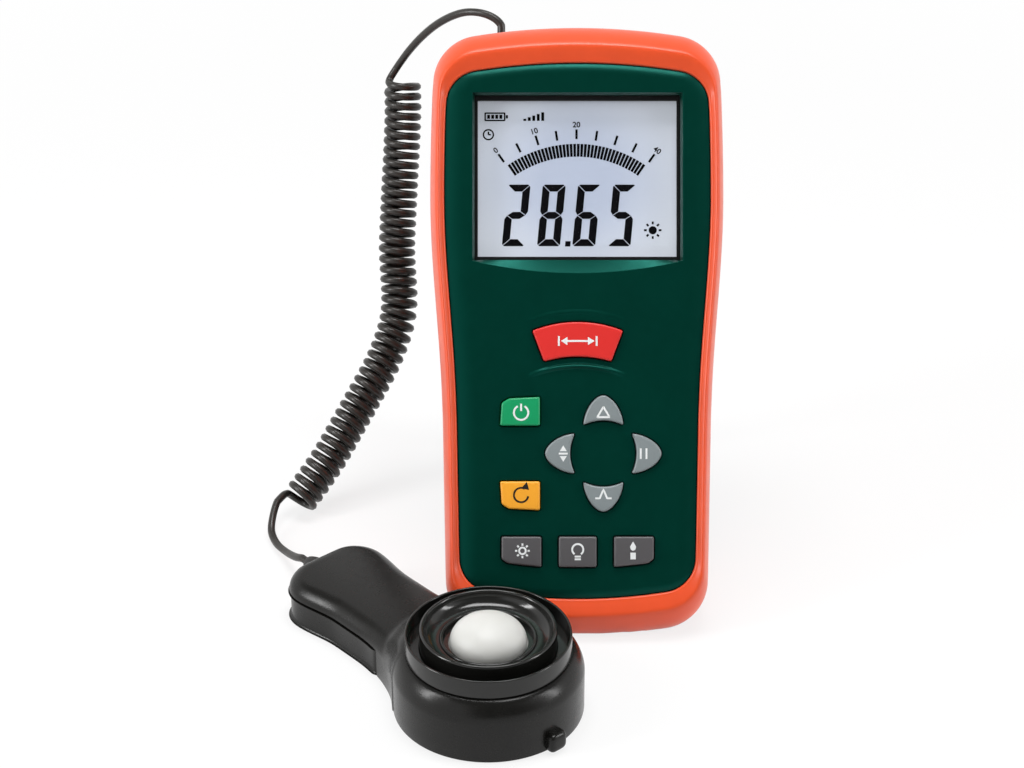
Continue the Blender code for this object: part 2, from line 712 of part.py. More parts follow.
def make_buttons(meter):
    """Ten buttons, each with a flange behind the face that keeps it in."""
    for name, (edge, material) in button_outlines().items():
        flange = grown(edge, BUTTON_FLANGE)
        top = FACE - BUTTON_PROUD
        stacked(
            name,
            [
                (FLANGE_BACK, flange), (FLANGE_FRONT, flange), (FLANGE_FRONT, edge),
                (top + BUTTON_CHAMFER, edge), (top, grown(edge, -BUTTON_CHAMFER)),
            ],
            material,
            meter,
        )


def make_front_case(meter, bench):
    """The face shell: a rim that stands through the boot's lip, with the window and the button holes."""
    face_side, face_end = LIP_SIDE + GAP, LIP_END + GAP
    edge = FACE_EDGE_ROUND
    layers = [
        (CASE_SPLIT - GAP / 2, outline(CASE_SIDE, CASE_END)),
        (SHOULDER, outline(CASE_SIDE, CASE_END)),
        (SHOULDER, outline(face_side, face_end)),
        (FACE + 2 * edge, outline(face_side, face_end)),
        (FACE + edge / 2, outline(face_side + edge / 2, face_end + edge / 2)),
        (FACE, outline(face_side + 2 * edge, face_end + 2 * edge)),
    ]
    case = stacked("front_case", layers, "case_plastic", meter)
    cavity = prism(
        "front_cavity", outline(CAVITY_SIDE, CAVITY_END), FACE_INSIDE, CASE_SPLIT + CUT, None, meter
    )
    combine(cavity, "DIFFERENCE", sole_slab(CAVITY_SOLE, bench))
    combine(case, "DIFFERENCE", sole_slab(CASE_SOLE, bench), cavity)
    bosses = [circle(x, z, BOSS_RADIUS) for x, z in boss_places()]
    boss_front = FACE_INSIDE - FACE_WALL / 3
    combine(case, "UNION", prisms("front_bosses", bosses, boss_front, CASE_SPLIT - GAP / 2, None, meter))
    pilots = [circle(x, z, SCREW_SHANK_RADIUS + GAP) for x, z in boss_places()]
    pilot_front = screw_front() - SCREW_LENGTH - GAP
    combine(case, "DIFFERENCE", prisms("front_pilots", pilots, pilot_front, CASE_SPLIT + CUT, None, meter))
    half = WINDOW_WIDTH / 2
    holes = [rectangle(-half, half, WINDOW_LOW, WINDOW_HIGH, WINDOW_CORNER)]
    holes += [grown(key_edge, GAP) for key_edge, _ in button_outlines().values()]
    combine(case, "DIFFERENCE", prisms("face_holes", holes, FACE - CUT, FACE_INSIDE + CUT, None, meter))
    return case


def screw_front():
    """Depth of the front of a case screw's head, just under the back's surface."""
    return BACK_FLOOR - GAP - SCREW_HEAD_HEIGHT


def door_boss_depths():
    """Front and back of the block that takes the door's screw, between the snap and the door's pad."""
    back = BACK_INSIDE + GAP - DOOR_PAD_DEPTH - GAP
    return screw_front() - DOOR_SCREW_LENGTH - GAP - CASE_WALL / 2, back


def make_rear_case(meter, bench):
    """The back shell, with screw bosses, the battery door's opening and the stand's two hinge lugs."""
    layers = [(y, outline(CASE_SIDE, CASE_END)) for y in (CASE_SPLIT + GAP / 2, BACK_FLOOR)]
    case = stacked("rear_case", layers, "case_plastic", meter)
    cavity = prism(
        "rear_cavity", outline(CAVITY_SIDE, CAVITY_END), CASE_SPLIT - CUT, BACK_INSIDE, None, meter
    )
    combine(cavity, "DIFFERENCE", sole_slab(CAVITY_SOLE, bench))
    combine(case, "DIFFERENCE", sole_slab(CASE_SOLE, bench), cavity)
    bosses = [circle(x, z, BOSS_RADIUS) for x, z in boss_places()]
    boss_back = BACK_INSIDE + CASE_WALL / 2
    combine(case, "UNION", prisms("rear_bosses", bosses, CASE_SPLIT + GAP / 2, boss_back, None, meter))
    shanks = [circle(x, z, SCREW_SHANK_RADIUS + GAP) for x, z in boss_places()]
    combine(
        case, "DIFFERENCE", prisms("screw_holes", shanks, CASE_SPLIT - CUT, BACK_FLOOR + CUT, None, meter)
    )
    heads = [circle(x, z, SCREW_HEAD_RADIUS + GAP) for x, z in boss_places()]
    head_seat = screw_front() - GAP
    combine(
        case, "DIFFERENCE", prisms("screw_head_holes", heads, head_seat, BACK_FLOOR + 2 * CUT, None, meter)
    )
    lug_near = STAND_WIDTH / 2 + GAP
    lug_profile = [(BACK_FLOOR - CUT / 2, HINGE_HEIGHT - LUG_RADIUS)]
    for k in range(11):
        turn = math.pi * (k / 10 - 0.5)
        y = HINGE_DEPTH + LUG_RADIUS * math.cos(turn)
        lug_profile.append((y, HINGE_HEIGHT + LUG_RADIUS * math.sin(turn)))
    lug_profile.append((BACK_FLOOR - CUT / 2, HINGE_HEIGHT + LUG_RADIUS))
    for name, side in (("left_hinge_lug", -1), ("right_hinge_lug", 1)):
        near, far = side * lug_near, side * (lug_near + LUG_THICKNESS)
        combine(case, "UNION", crosswise(name, lug_profile, near, far, None, meter))
    hinge_half = lug_near + STAND_PIN_LENGTH + GAP
    hinge_hole = rod(
        "hinge_hole", STAND_PIN_RADIUS + GAP, -hinge_half, hinge_half,
        (0, HINGE_DEPTH, HINGE_HEIGHT), "X", None, meter,
    )
    door_hole = box(
        "door_hole", (-DOOR_WIDTH / 2, BACK_INSIDE - CUT, DOOR_LOW),
        (DOOR_WIDTH / 2, BACK_FLOOR + CUT, DOOR_HIGH), None, meter,
    )
    boss_front, boss_back = door_boss_depths()
    boss_low, boss_high = DOOR_SCREW_HEIGHT - BOSS_RADIUS, DOOR_HIGH + 1.5 * CASE_WALL
    boss_profile = [
        (boss_front, boss_low), (boss_back, boss_low), (boss_back, DOOR_HIGH + GAP),
        (BACK_INSIDE + CASE_WALL / 2, DOOR_HIGH + GAP), (BACK_INSIDE + CASE_WALL / 2, boss_high),
        (boss_front, boss_high),
    ]
    door_boss = crosswise("door_boss", boss_profile, -BOSS_RADIUS, BOSS_RADIUS, None, meter)
    door_pilot = rod(
        "door_pilot", SCREW_SHANK_RADIUS + GAP, screw_front() - DOOR_SCREW_LENGTH - GAP, BACK_INSIDE + CUT,
        (0, 0, DOOR_SCREW_HEIGHT), "Y", None, meter,
    )
    cord_hole = rod(
        "case_cord_hole", METER_GLAND_SPIGOT + GAP, METER_LENGTH - CAVITY_END - 3 * CUT, METER_LENGTH,
        (METER_GLAND_X, METER_GLAND_Y, 0), "Z", None, meter,
    )
    combine(case, "DIFFERENCE", door_hole)
    combine(case, "UNION", door_boss)
    combine(case, "DIFFERENCE", door_pilot, hinge_hole, cord_hole)
    return case


def make_screws(meter):
    """Four long case screws and the short one that holds the battery door, with cross-slotted heads."""
    places = [(f"case_screw_{k + 1}", x, z, SCREW_LENGTH) for k, (x, z) in enumerate(boss_places())]
    places.append(("battery_door_screw", 0, DOOR_SCREW_HEIGHT, DOOR_SCREW_LENGTH))
    for name, x, z, length in places:
        front = screw_front()
        head = SCREW_HEAD_RADIUS
        profile = [
            (0, front - length), (SCREW_SHANK_RADIUS, front - length), (SCREW_SHANK_RADIUS, front),
            (head, front), (head, front + 0.6 * SCREW_HEAD_HEIGHT), (0.7 * head, front + SCREW_HEAD_HEIGHT),
            (0, front + SCREW_HEAD_HEIGHT),
        ]
        screw = turned(name, profile, "screw_steel", meter, (x, 0, z), "Y", 14)
        deep = (front + SCREW_HEAD_HEIGHT / 2, front + SCREW_HEAD_HEIGHT + CUT)
        for k, (wide, tall) in enumerate(((0.6, 0.16), (0.16, 0.6))):
            slot = box(
                f"{name}_slot_{k}", (x - wide * head, deep[0], z - tall * head),
                (x + wide * head, deep[1], z + tall * head),
                None, meter,
            )
            combine(screw, "DIFFERENCE", slot)


def make_display(meter):
    """Lens, black frame, liquid crystal panel, its contact strip and its backlight, front to back."""
    lens_half = WINDOW_WIDTH / 2 - GAP
    lens = rectangle(-lens_half, lens_half, WINDOW_LOW + GAP, WINDOW_HIGH - GAP, WINDOW_CORNER)
    prism("display_lens", lens, LENS_FRONT, LENS_FRONT + LENS_THICKNESS, "clear_lens", meter)
    wide = WINDOW_WIDTH / 2 + BEZEL_MARGIN
    bezel = box(
        "display_bezel", (-wide, BEZEL_FRONT, WINDOW_LOW - BEZEL_MARGIN),
        (wide, BEZEL_FRONT + BEZEL_THICKNESS, WINDOW_HIGH + BEZEL_MARGIN), "black_plastic", meter,
    )
    view_half = LCD_VIEW_WIDTH / 2
    view = box(
        "bezel_opening", (-view_half, BEZEL_FRONT - CUT, LCD_VIEW_LOW),
        (view_half, BEZEL_FRONT + BEZEL_THICKNESS + CUT, LCD_VIEW_HIGH), None, meter,
    )
    combine(bezel, "DIFFERENCE", view)
    low, high = LCD_VIEW_LOW - LCD_MARGIN, LCD_VIEW_HIGH + LCD_MARGIN / 2
    box(
        "lcd_panel", (-view_half - 0.001, LCD_FRONT, low),
        (view_half + 0.001, LCD_FRONT + LCD_THICKNESS, high),
        "lcd_glass", meter,
    )
    strip_top = low + 0.0002 + STRIP_WIDTH
    box(
        "lcd_contact_strip", (-view_half + 0.004, BACKLIGHT_FRONT, low + 0.0002),
        (view_half - 0.004, BACKLIGHT_FRONT + BACKLIGHT_THICKNESS, strip_top), "pad_rubber", meter,
    )
    box(
        "backlight_panel", (-view_half, BACKLIGHT_FRONT, strip_top + GAP),
        (view_half, BACKLIGHT_FRONT + BACKLIGHT_THICKNESS, high), "white_panel", meter,
    )


def make_board(meter):
    """The circuit board with its measuring chip, and the rubber pad under the buttons."""
    half = BOARD_WIDTH / 2
    board = rectangle(-half, half, BOARD_LOW, BOARD_HIGH, 0.0015, 2)
    prism("circuit_board", board, BOARD_FRONT, BOARD_BACK, "board", meter)
    chip = CHIP_SIZE / 2
    box(
        "measuring_chip", (-chip, BOARD_BACK + GAP, CHIP_HEIGHT - chip),
        (chip, BOARD_BACK + GAP + CHIP_THICKNESS, CHIP_HEIGHT + chip), "chip", meter,
    )
    reach_x = max(CROSS_X + CROSS_TIP, -SIDE_KEY_LEFT) + PAD_MARGIN / 2
    pad = rectangle(
        -reach_x, reach_x, LOW_KEY_BOTTOM - PAD_MARGIN, RANGE_HIGH + RANGE_TOP_BULGE + PAD_MARGIN, 0.002, 2
    )
    prism("button_pad", pad, PAD_FRONT, PAD_BACK, "pad_rubber", meter)


def make_battery(meter):
    """The block battery, its snap connector above it and the door behind it."""
    half = BATTERY_WIDTH / 2
    back = BACK_INSIDE - GAP
    front = back - BATTERY_DEPTH
    top = BATTERY_LOW + BATTERY_LENGTH
    block = rectangle(-half, half, BATTERY_LOW, top, 0.0015, 2)
    prism("battery", block, front, back, "battery_wrap", meter)
    snap_half = half - 0.001
    snap_back = door_boss_depths()[0] - GAP
    box(
        "battery_snap", (-snap_half, front + 0.0005, top + GAP),
        (snap_half, snap_back, top + GAP + SNAP_THICKNESS),
        "black_plastic", meter,
    )
    door = rectangle(
        -DOOR_WIDTH / 2 + GAP, DOOR_WIDTH / 2 - GAP, DOOR_LOW + GAP, DOOR_HIGH - GAP, 0.0008, 2
    )
    plate = prism("battery_door", door, BACK_INSIDE + GAP, BACK_FLOOR - GAP / 2, "case_plastic", meter)
    pad_front = BACK_INSIDE + GAP - DOOR_PAD_DEPTH
    pad = rod(
        "door_pad", DOOR_PAD_RADIUS, pad_front, BACK_INSIDE + CASE_WALL / 2,
        (0, 0, DOOR_SCREW_HEIGHT), "Y", None, meter,
    )
    combine(plate, "UNION", pad)
    seat = screw_front() - GAP
    profile = [
        (0, pad_front - CUT), (SCREW_SHANK_RADIUS + GAP, pad_front - CUT), (SCREW_SHANK_RADIUS + GAP, seat),
        (SCREW_HEAD_RADIUS + GAP, seat), (SCREW_HEAD_RADIUS + GAP, BACK_FLOOR + CUT), (0, BACK_FLOOR + CUT),
    ]
    combine(
        plate, "DIFFERENCE",
        turned("door_screw_hole", profile, None, meter, (0, 0, DOOR_SCREW_HEIGHT), "Y", 14),
    )


def stand_angle():
    """How far the stand swings out from the back until its foot meets the bench."""
    hinge_rise = -HINGE_DEPTH * math.sin(LEAN) + HINGE_HEIGHT * math.cos(LEAN) - SOLE_CUT
    foot = STAND_THICKNESS / 2
    return LEAN + math.acos((hinge_rise - foot) / (STAND_LENGTH - foot))


def make_stand(meter):
    """The tilt stand: a plate with round ends that turns on two short pins, swung out to the bench."""
    hinge = empty("stand_hinge", meter, (0, HINGE_DEPTH, HINGE_HEIGHT), (stand_angle(), 0, 0))
    end = STAND_THICKNESS / 2
    outline_points = []
    for k in range(9):
        turn = math.pi * k / 8
        outline_points.append((end * math.cos(turn), end * math.sin(turn)))
    for k in range(9):
        turn = math.pi * (1 + k / 8)
        outline_points.append((end * math.cos(turn), end - STAND_LENGTH + end * math.sin(turn)))
    half = STAND_WIDTH / 2
    plate = crosswise("tilt_stand", outline_points, -half, half, "black_plastic", hinge)
    pin_half = half + STAND_PIN_LENGTH
    combine(
        plate, "UNION",
        rod("stand_pins", STAND_PIN_RADIUS, -pin_half, pin_half, (0, 0, 0), "X", None, hinge),
    )


def make_meter_gland(meter):
    """The sleeve in the meter's top end that the cord leaves through."""
    shoulder = top_edge(METER_GLAND_X, CASE_SIDE, CASE_END) + GAP
    inner_end = top_edge(METER_GLAND_X, CAVITY_SIDE, CAVITY_END) - 0.0015
    profile = [
        (0, inner_end), (METER_GLAND_SPIGOT, inner_end), (METER_GLAND_SPIGOT, shoulder),
        (METER_GLAND_RADIUS, shoulder), (METER_GLAND_RADIUS, METER_GLAND_TOP - 0.0006),
        (METER_GLAND_RADIUS - 0.0006, METER_GLAND_TOP), (0, METER_GLAND_TOP),
    ]
    turned("meter_gland", profile, "black_plastic", meter, (METER_GLAND_X, METER_GLAND_Y, 0), "Z", 14)


def handle_half_width(s):
    """Half the sensor handle's width at a distance from the puck's middle: fillet, waist, flared tail."""
    fillet = max(1 - (s - HANDLE_START) / (HANDLE_FILLET_END - HANDLE_START), 0.0) ** 2
    flare = smooth_step(s, HANDLE_REACH - HANDLE_FLARE_REACH, HANDLE_REACH - HANDLE_TAIL_CORNER)
    return HANDLE_WAIST + HANDLE_FILLET * fillet + HANDLE_FLARE * flare


def handle_outline(start, inset=0.0, reach=HANDLE_REACH):
    """The handle's plan from a start along it to its round-cornered tail."""
    corner = HANDLE_TAIL_CORNER
    side = []
    straight_end = reach - corner
    for k in range(13):
        s = start + (straight_end - start) * k / 12
        side.append((s, -(handle_half_width(s) - inset)))
    half = -side[-1][1]
    for k in range(1, 7):
        turn = math.pi / 2 * k / 6
        side.append(
            (straight_end + (corner - inset) * math.sin(turn), -(half - corner * (1 - math.cos(turn))))
        )
    return side + [(s, -t) for s, t in reversed(side)]


def below_bench(sensor):
    """Everything under the bench, to cut the sensor's shells level."""
    reach = 2 * HANDLE_REACH
    return box("below_bench", (-reach, -reach, -reach), (reach, reach, 0), None, sensor)


def make_sensor_shells(sensor):
    """The sensor's cover, a puck with a handle, and the base that closes it from below."""
    deep = -4 * CUT
    under = below_bench(sensor)
    puck = [(0, -CUT), (PUCK_RADIUS, -CUT)]
    for depth, inset in reversed(quarter(4)):
        puck.append((PUCK_RADIUS - PUCK_ROUND * inset, PUCK_HEIGHT - PUCK_ROUND * depth))
    puck.append((0, PUCK_HEIGHT))
    cover = turned("sensor_cover", puck, "sensor_plastic", sensor)
    layers = [(-1.5 * CUT, handle_outline(HANDLE_START))]
    for depth, inset in reversed(quarter(4)):
        level = HANDLE_HEIGHT - HANDLE_ROUND * depth
        layers.append((level, handle_outline(HANDLE_START, HANDLE_ROUND * inset)))
    handle = stacked("handle_form", layers, None, sensor, upright=True)
    lug_half = CAP_LUG_WIDTH / 2
    lug = box(
        "cap_lug", (PUCK_RADIUS - CUT, -lug_half, -0.5 * CUT),
        (PUCK_RADIUS + CAP_LUG_REACH, lug_half, CAP_LUG_HEIGHT), None, sensor,
    )
    lug.rotation_euler = (0, 0, CAP_LUG_TURN - SENSOR_TURN)
    seam_edge = grown(handle_outline(SEAM_START), CUT)
    seam = stacked(
        "seam_cut", [(z, seam_edge) for z in (deep, SEAM_HEIGHT + GAP)], None, sensor, upright=True
    )
    keep_half = 2 * PUCK_RADIUS
    keep = box(
        "seam_start", (0, -keep_half, 2 * deep), (SEAM_START, keep_half, SEAM_HEIGHT + CUT), None, sensor
    )
    combine(seam, "DIFFERENCE", keep)
    floor_radius = PUCK_RADIUS - PUCK_WALL
    wall_radius = floor_radius - PUCK_WALL
    floor_top = FLOOR_THICKNESS + GAP
    ceiling = PUCK_HEIGHT - PUCK_TOP_WALL
    well = [
        (0, deep), (floor_radius, deep), (floor_radius, floor_top), (wall_radius, floor_top),
        (wall_radius, ceiling), (LIGHT_WELL_RADIUS, ceiling), (LIGHT_WELL_RADIUS, PUCK_HEIGHT + CUT),
        (0, PUCK_HEIGHT + CUT),
    ]
    bridge_half = HANDLE_WAIST - BRIDGE_INSET
    bridge_cut = box(
        "bridge_cut", (wall_radius, -bridge_half - GAP, 0.8 * deep),
        (SEAM_START + CUT, bridge_half + GAP, FLOOR_THICKNESS), None, sensor,
    )
    combine(cover, "UNION", handle, lug)
    combine(cover, "DIFFERENCE", seam, turned("sensor_well", well, None, sensor), bridge_cut, under)

    disc = floor_radius - GAP
    pillar_top = cell_board_low() - GAP
    floor = [
        (0, -CUT), (disc, -CUT), (disc, FLOOR_THICKNESS), (PILLAR_RADIUS, FLOOR_THICKNESS),
        (PILLAR_RADIUS, pillar_top), (0, pillar_top),
    ]
    base = turned("sensor_base", floor, "sensor_plastic", sensor)
    bridge = box(
        "bridge", (wall_radius, -bridge_half, -0.5 * CUT),
        (SEAM_START + CUT, bridge_half, FLOOR_THICKNESS - GAP), None, sensor,
    )
    tongue_edge = handle_outline(SEAM_START + GAP)
    tongue = stacked(
        "handle_base_form", [(z, tongue_edge) for z in (-1.5 * CUT, SEAM_HEIGHT)], None, sensor, upright=True
    )
    combine(base, "UNION", bridge, tongue)
    combine(base, "DIFFERENCE", under)
    head_top = GAP + SCREW_HEAD_HEIGHT
    screw_top = head_top + SENSOR_SCREW_LENGTH
    head, shank = SCREW_HEAD_RADIUS, SCREW_SHANK_RADIUS
    for k, s in enumerate(SENSOR_SCREW_PLACES):
        profile = [
            (0, deep), (head + GAP, deep), (head + GAP, head_top + GAP), (shank + GAP, head_top + GAP),
            (shank + GAP, screw_top + GAP), (0, screw_top + GAP),
        ]
        hole = turned(f"sensor_screw_hole_{k}", profile, None, sensor, (s, 0, 0), "Z", 14)
        combine(base, "DIFFERENCE", hole)
        combine(handle, "DIFFERENCE", hole)
        profile = [
            (0, GAP), (0.7 * head, GAP), (head, GAP + 0.4 * SCREW_HEAD_HEIGHT), (head, head_top),
            (shank, head_top), (shank, screw_top), (0, screw_top),
        ]
        turned(f"sensor_screw_{k + 1}", profile, "screw_steel", sensor, (s, 0, 0), "Z", 14)
    gland_hole = rod(
        "gland_hole", SENSOR_GLAND_SPIGOT + GAP, HANDLE_REACH - SENSOR_GLAND_DEPTH - GAP,
        HANDLE_REACH + CUT,
        (0, 0, SENSOR_GLAND_HEIGHT), "X", None, sensor,
    )
    combine(base, "DIFFERENCE", gland_hole)
    combine(handle, "DIFFERENCE", gland_hole)


def cell_board_low():
    """Underside of the little board that carries the light cell, worked down from the dome's flange."""
    flange_low = PUCK_HEIGHT + GAP
    return flange_low - GAP - FILTER_THICKNESS - GAP - CELL_THICKNESS - GAP - CELL_BOARD_THICKNESS


def make_light_path(sensor):
    """The collar round the dome, the dome itself, and the filter, cell and board below it."""
    low = PUCK_HEIGHT + GAP
    ledge = low + DOME_FLANGE_THICKNESS + GAP
    dome_hole = DOME_RADIUS + GAP
    rim_inside = COLLAR_RADIUS - COLLAR_RIM_WIDTH
    groove = COLLAR_RIM_HEIGHT - COLLAR_GROOVE_DEPTH
    edge = COLLAR_EDGE
    collar = [
        (COLLAR_RADIUS, low), (COLLAR_RADIUS, COLLAR_RIM_HEIGHT - edge),
        (COLLAR_RADIUS - edge, COLLAR_RIM_HEIGHT), (rim_inside + edge, COLLAR_RIM_HEIGHT),
        (rim_inside, COLLAR_RIM_HEIGHT - edge), (rim_inside - edge, groove),
        (COLLAR_MOUTH_RADIUS + FUNNEL_WALL + edge, groove),
        (COLLAR_MOUTH_RADIUS + FUNNEL_WALL, COLLAR_MOUTH_HEIGHT - edge),
        (COLLAR_MOUTH_RADIUS + FUNNEL_WALL / 2, COLLAR_MOUTH_HEIGHT),
        (COLLAR_MOUTH_RADIUS, COLLAR_MOUTH_HEIGHT - edge),
        (COLLAR_STEP_RADIUS + 0.0012, DOME_BASE + 0.0022), (COLLAR_STEP_RADIUS, DOME_BASE + 0.0020),
        (COLLAR_STEP_RADIUS - 0.0006, DOME_BASE), (dome_hole, DOME_BASE - 0.0003),
        (dome_hole, ledge), (DOME_FLANGE_RADIUS + GAP, ledge), (DOME_FLANGE_RADIUS + GAP, low),
    ]
    turned("sensor_collar", collar, "black_plastic", sensor)
    dome = [
        (DOME_FLANGE_RADIUS, low), (DOME_FLANGE_RADIUS, low + DOME_FLANGE_THICKNESS),
        (DOME_RADIUS, low + DOME_FLANGE_THICKNESS),
    ]
    steps = 6
    for k in range(steps):
        turn = math.pi / 2 * k / steps
        dome.append((DOME_RADIUS * math.cos(turn), DOME_BASE + DOME_RISE * math.sin(turn)))
    dome.append((0, DOME_BASE + DOME_RISE))
    inner = DOME_RADIUS - DOME_WALL
    hollow = [(0, DOME_BASE + DOME_RISE - DOME_WALL)]
    for k in range(steps - 1, -1, -1):
        turn = math.pi / 2 * k / steps
        hollow.append((inner * math.cos(turn), DOME_BASE + (DOME_RISE - DOME_WALL) * math.sin(turn)))
    hollow.append((inner, low))
    shell_of_revolution("diffuser_dome", dome, hollow, "diffuser", sensor)
    board_low = cell_board_low()
    cell_low = board_low + CELL_BOARD_THICKNESS + GAP
    filter_low = cell_low + CELL_THICKNESS + GAP
    rod(
        "cell_board", CELL_BOARD_RADIUS, board_low, board_low + CELL_BOARD_THICKNESS, (0, 0, 0), "Z",
        "board", sensor, 32,
    )
    cell = CELL_SIZE / 2
    box(
        "photo_cell", (-cell, -cell, cell_low), (cell, cell, cell_low + CELL_THICKNESS), "photo_cell",
        sensor,
    )
    rod(
        "colour_filter", FILTER_RADIUS, filter_low, filter_low + FILTER_THICKNESS, (0, 0, 0), "Z",
        "filter_glass", sensor, 32,
    )


def shell_of_revolution(name, outer, inner, material, parent, sides=32):
    """A hollow turned shell: the outer profile up to the axis, then the inner one back down from it."""
    points, faces, rows = [], [], []
    for radius, height in outer + inner:
        rows.append((len(points), radius == 0))
        for k in range(1 if radius == 0 else sides):
            turn = 2 * math.pi * k / sides
            points.append((radius * math.cos(turn), radius * math.sin(turn), height))
    count = len(rows)
    for i in range(count):
        (a, a_tip), (b, b_tip) = rows[i], rows[(i + 1) % count]
        if a_tip and b_tip:
            continue
        for k in range(sides):
            j = (k + 1) % sides
            if a_tip:
                faces.append((a, b + k, b + j))
            elif b_tip:
                faces.append((a + k, a + j, b))
            else:
                faces.append((a + k, a + j, b + j, b + k))
    return solid(name, points, faces, material, parent)


def make_sensor_gland(sensor):
    """The short round strain relief in the handle's tail."""
    start = HANDLE_REACH + GAP
    end = start + SENSOR_GLAND_LENGTH
    profile = [
        (0, HANDLE_REACH - SENSOR_GLAND_DEPTH), (SENSOR_GLAND_SPIGOT, HANDLE_REACH - SENSOR_GLAND_DEPTH),
        (SENSOR_GLAND_SPIGOT, start), (SENSOR_GLAND_RADIUS, start), (SENSOR_GLAND_RADIUS, end - 0.0016),
        (SENSOR_GLAND_RADIUS - 0.0005, end - 0.0005), (SENSOR_GLAND_RADIUS - 0.0012, end), (0, end),
    ]
    turned("sensor_gland", profile, "black_plastic", sensor, (0, 0, SENSOR_GLAND_HEIGHT), "X", 16)


def curl_points():
    """The curly cord's centre line: a helix about its route, opened at the bends so that no turns touch."""
    line, length = smooth_route(COIL_ROUTE, 0.0004)
    step = length / (len(line) - 1)
    ahead = np.gradient(line, step, axis=0)
    ahead /= np.linalg.norm(ahead, axis=1, keepdims=True)
    bend = np.gradient(ahead, step, axis=0)
    curvature = np.linalg.norm(bend, axis=1)
    window = np.ones(25) / 25
    curvature = np.convolve(np.pad(curvature, 12, mode="edge"), window, mode="valid")
    pitch = (CORD_DIAMETER + CURL_GAP) / (1 - CURL_RADIUS * curvature)
    turn = np.concatenate([[0], np.cumsum(2 * math.pi * step / pitch[:-1])])
    turns = math.floor(turn[-1] / (2 * math.pi))
    across = np.empty_like(line)
    left = np.array([-1.0, 0, 0])
    for i, forward in enumerate(ahead):
        left = left - forward * left.dot(forward)
        left /= np.linalg.norm(left)
        across[i] = left
    over = np.cross(across, ahead)
    angles = np.linspace(0, 2 * math.pi * turns, turns * CURL_POINTS + 1)

    def at(values):
        return np.stack([np.interp(angles, turn, values[:, k]) for k in range(3)], axis=1)

    helix = at(line) + CURL_RADIUS * (
        np.cos(angles)[:, None] * at(across) + np.sin(angles)[:, None] * at(over)
    )
    return helix, turns


def least_gap(points):
    """The smallest clearance between turns, measured between points along the tube's centre line."""
    between = np.concatenate([points[:-1] + (points[1:] - points[:-1]) * t for t in (0, 0.25, 0.5, 0.75)])
    order = np.concatenate([np.arange(len(points) - 1) + t for t in (0, 0.25, 0.5, 0.75)])
    apart = np.linalg.norm(between[:, None] - between[None], axis=2)
    apart[np.abs(order[:, None] - order[None]) < CURL_POINTS / 2] = np.inf
    return float(apart.min()) - CORD_DIAMETER


def make_cord(bench, meter, sensor):
    """The curly cord, the lead from the meter to its top end and the lead from its foot to the sensor."""
    helix, turns = curl_points()
    first = np.array(COIL_TOP_HEADING) / np.linalg.norm(COIL_TOP_HEADING)
    last = np.array(COIL_FOOT_HEADING) / np.linalg.norm(COIL_FOOT_HEADING)
    coil = np.vstack([helix[0] + CORD_DIAMETER * first, helix, helix[-1] + CORD_DIAMETER * last])
    tube("cord_coil", coil, "cord_jacket", bench, 1)
    low = (coil[:, 2].min() - CORD_RADIUS) * 1000
    print(f"cord_coil: {turns} curls, gap to itself {least_gap(coil) * 1000:.2f} mm, lowest {low:.2f} mm")

    bpy.context.view_layer.update()
    up = np.array(meter.matrix_world.to_3x3() @ Vector((0, 0, 1)))
    gland_top = Vector((METER_GLAND_X, METER_GLAND_Y, METER_GLAND_TOP + GAP))
    gland_top = np.array(meter.matrix_world @ gland_top)
    points, length = lead_points(gland_top, up, METER_LEAD_ROUTE, first, coil[0] + GAP * first)
    tube("meter_lead", points, "cord_jacket", bench, 2)
    print(f"meter_lead: {length * 1000:.0f} mm")

    out = np.array(sensor.matrix_world.to_3x3() @ Vector((1, 0, 0)))
    gland_end = HANDLE_REACH + GAP + SENSOR_GLAND_LENGTH + GAP
    gland_end = np.array(sensor.matrix_world @ Vector((gland_end, 0, SENSOR_GLAND_HEIGHT)))
    points, length = lead_points(coil[-1] + GAP * last, last, SENSOR_LEAD_ROUTE, out, gland_end)
    tube("sensor_lead", points, "cord_jacket", bench, 2)
    low = (points[:, 2].min() - CORD_RADIUS) * 1000
    print(f"sensor_lead: {length * 1000:.0f} mm, lowest {low:.2f} mm")
    curl_length = np.linalg.norm(np.diff(coil, axis=0), axis=1).sum()
    print(f"curly cord stretched out: {curl_length * 1000:.0f} mm")


def main():
    for item in list(bpy.data.objects):
        bpy.data.objects.remove(item, do_unlink=True)
    bench = empty("bench")
    meter = empty("meter_frame", bench, (0, 0, -SOLE_CUT), (-LEAN, 0, 0))
    sensor = empty("sensor_frame", bench, (SENSOR_X, SENSOR_Y, 0), (0, 0, SENSOR_TURN))
    bpy.context.view_layer.update()
    make_boot(meter, bench)
    make_front_case(meter, bench)
    make_rear_case(meter, bench)
    make_screws(meter)
    make_display(meter)
    make_board(meter)
    make_buttons(meter)
    make_battery(meter)
    make_stand(meter)
    make_meter_gland(meter)
    make_sensor_shells(sensor)
    make_light_path(sensor)
    make_sensor_gland(sensor)
    make_cord(bench, meter, sensor)


main()
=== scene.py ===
"""Looks of a handheld light meter in a rubber boot, with its light sensor on a curly cord.

Laid out as an add-on: property groups hold what a user would change, an operator makes each piece or group of
like pieces, and a panel lists them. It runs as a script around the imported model, in metres.
"""

import math

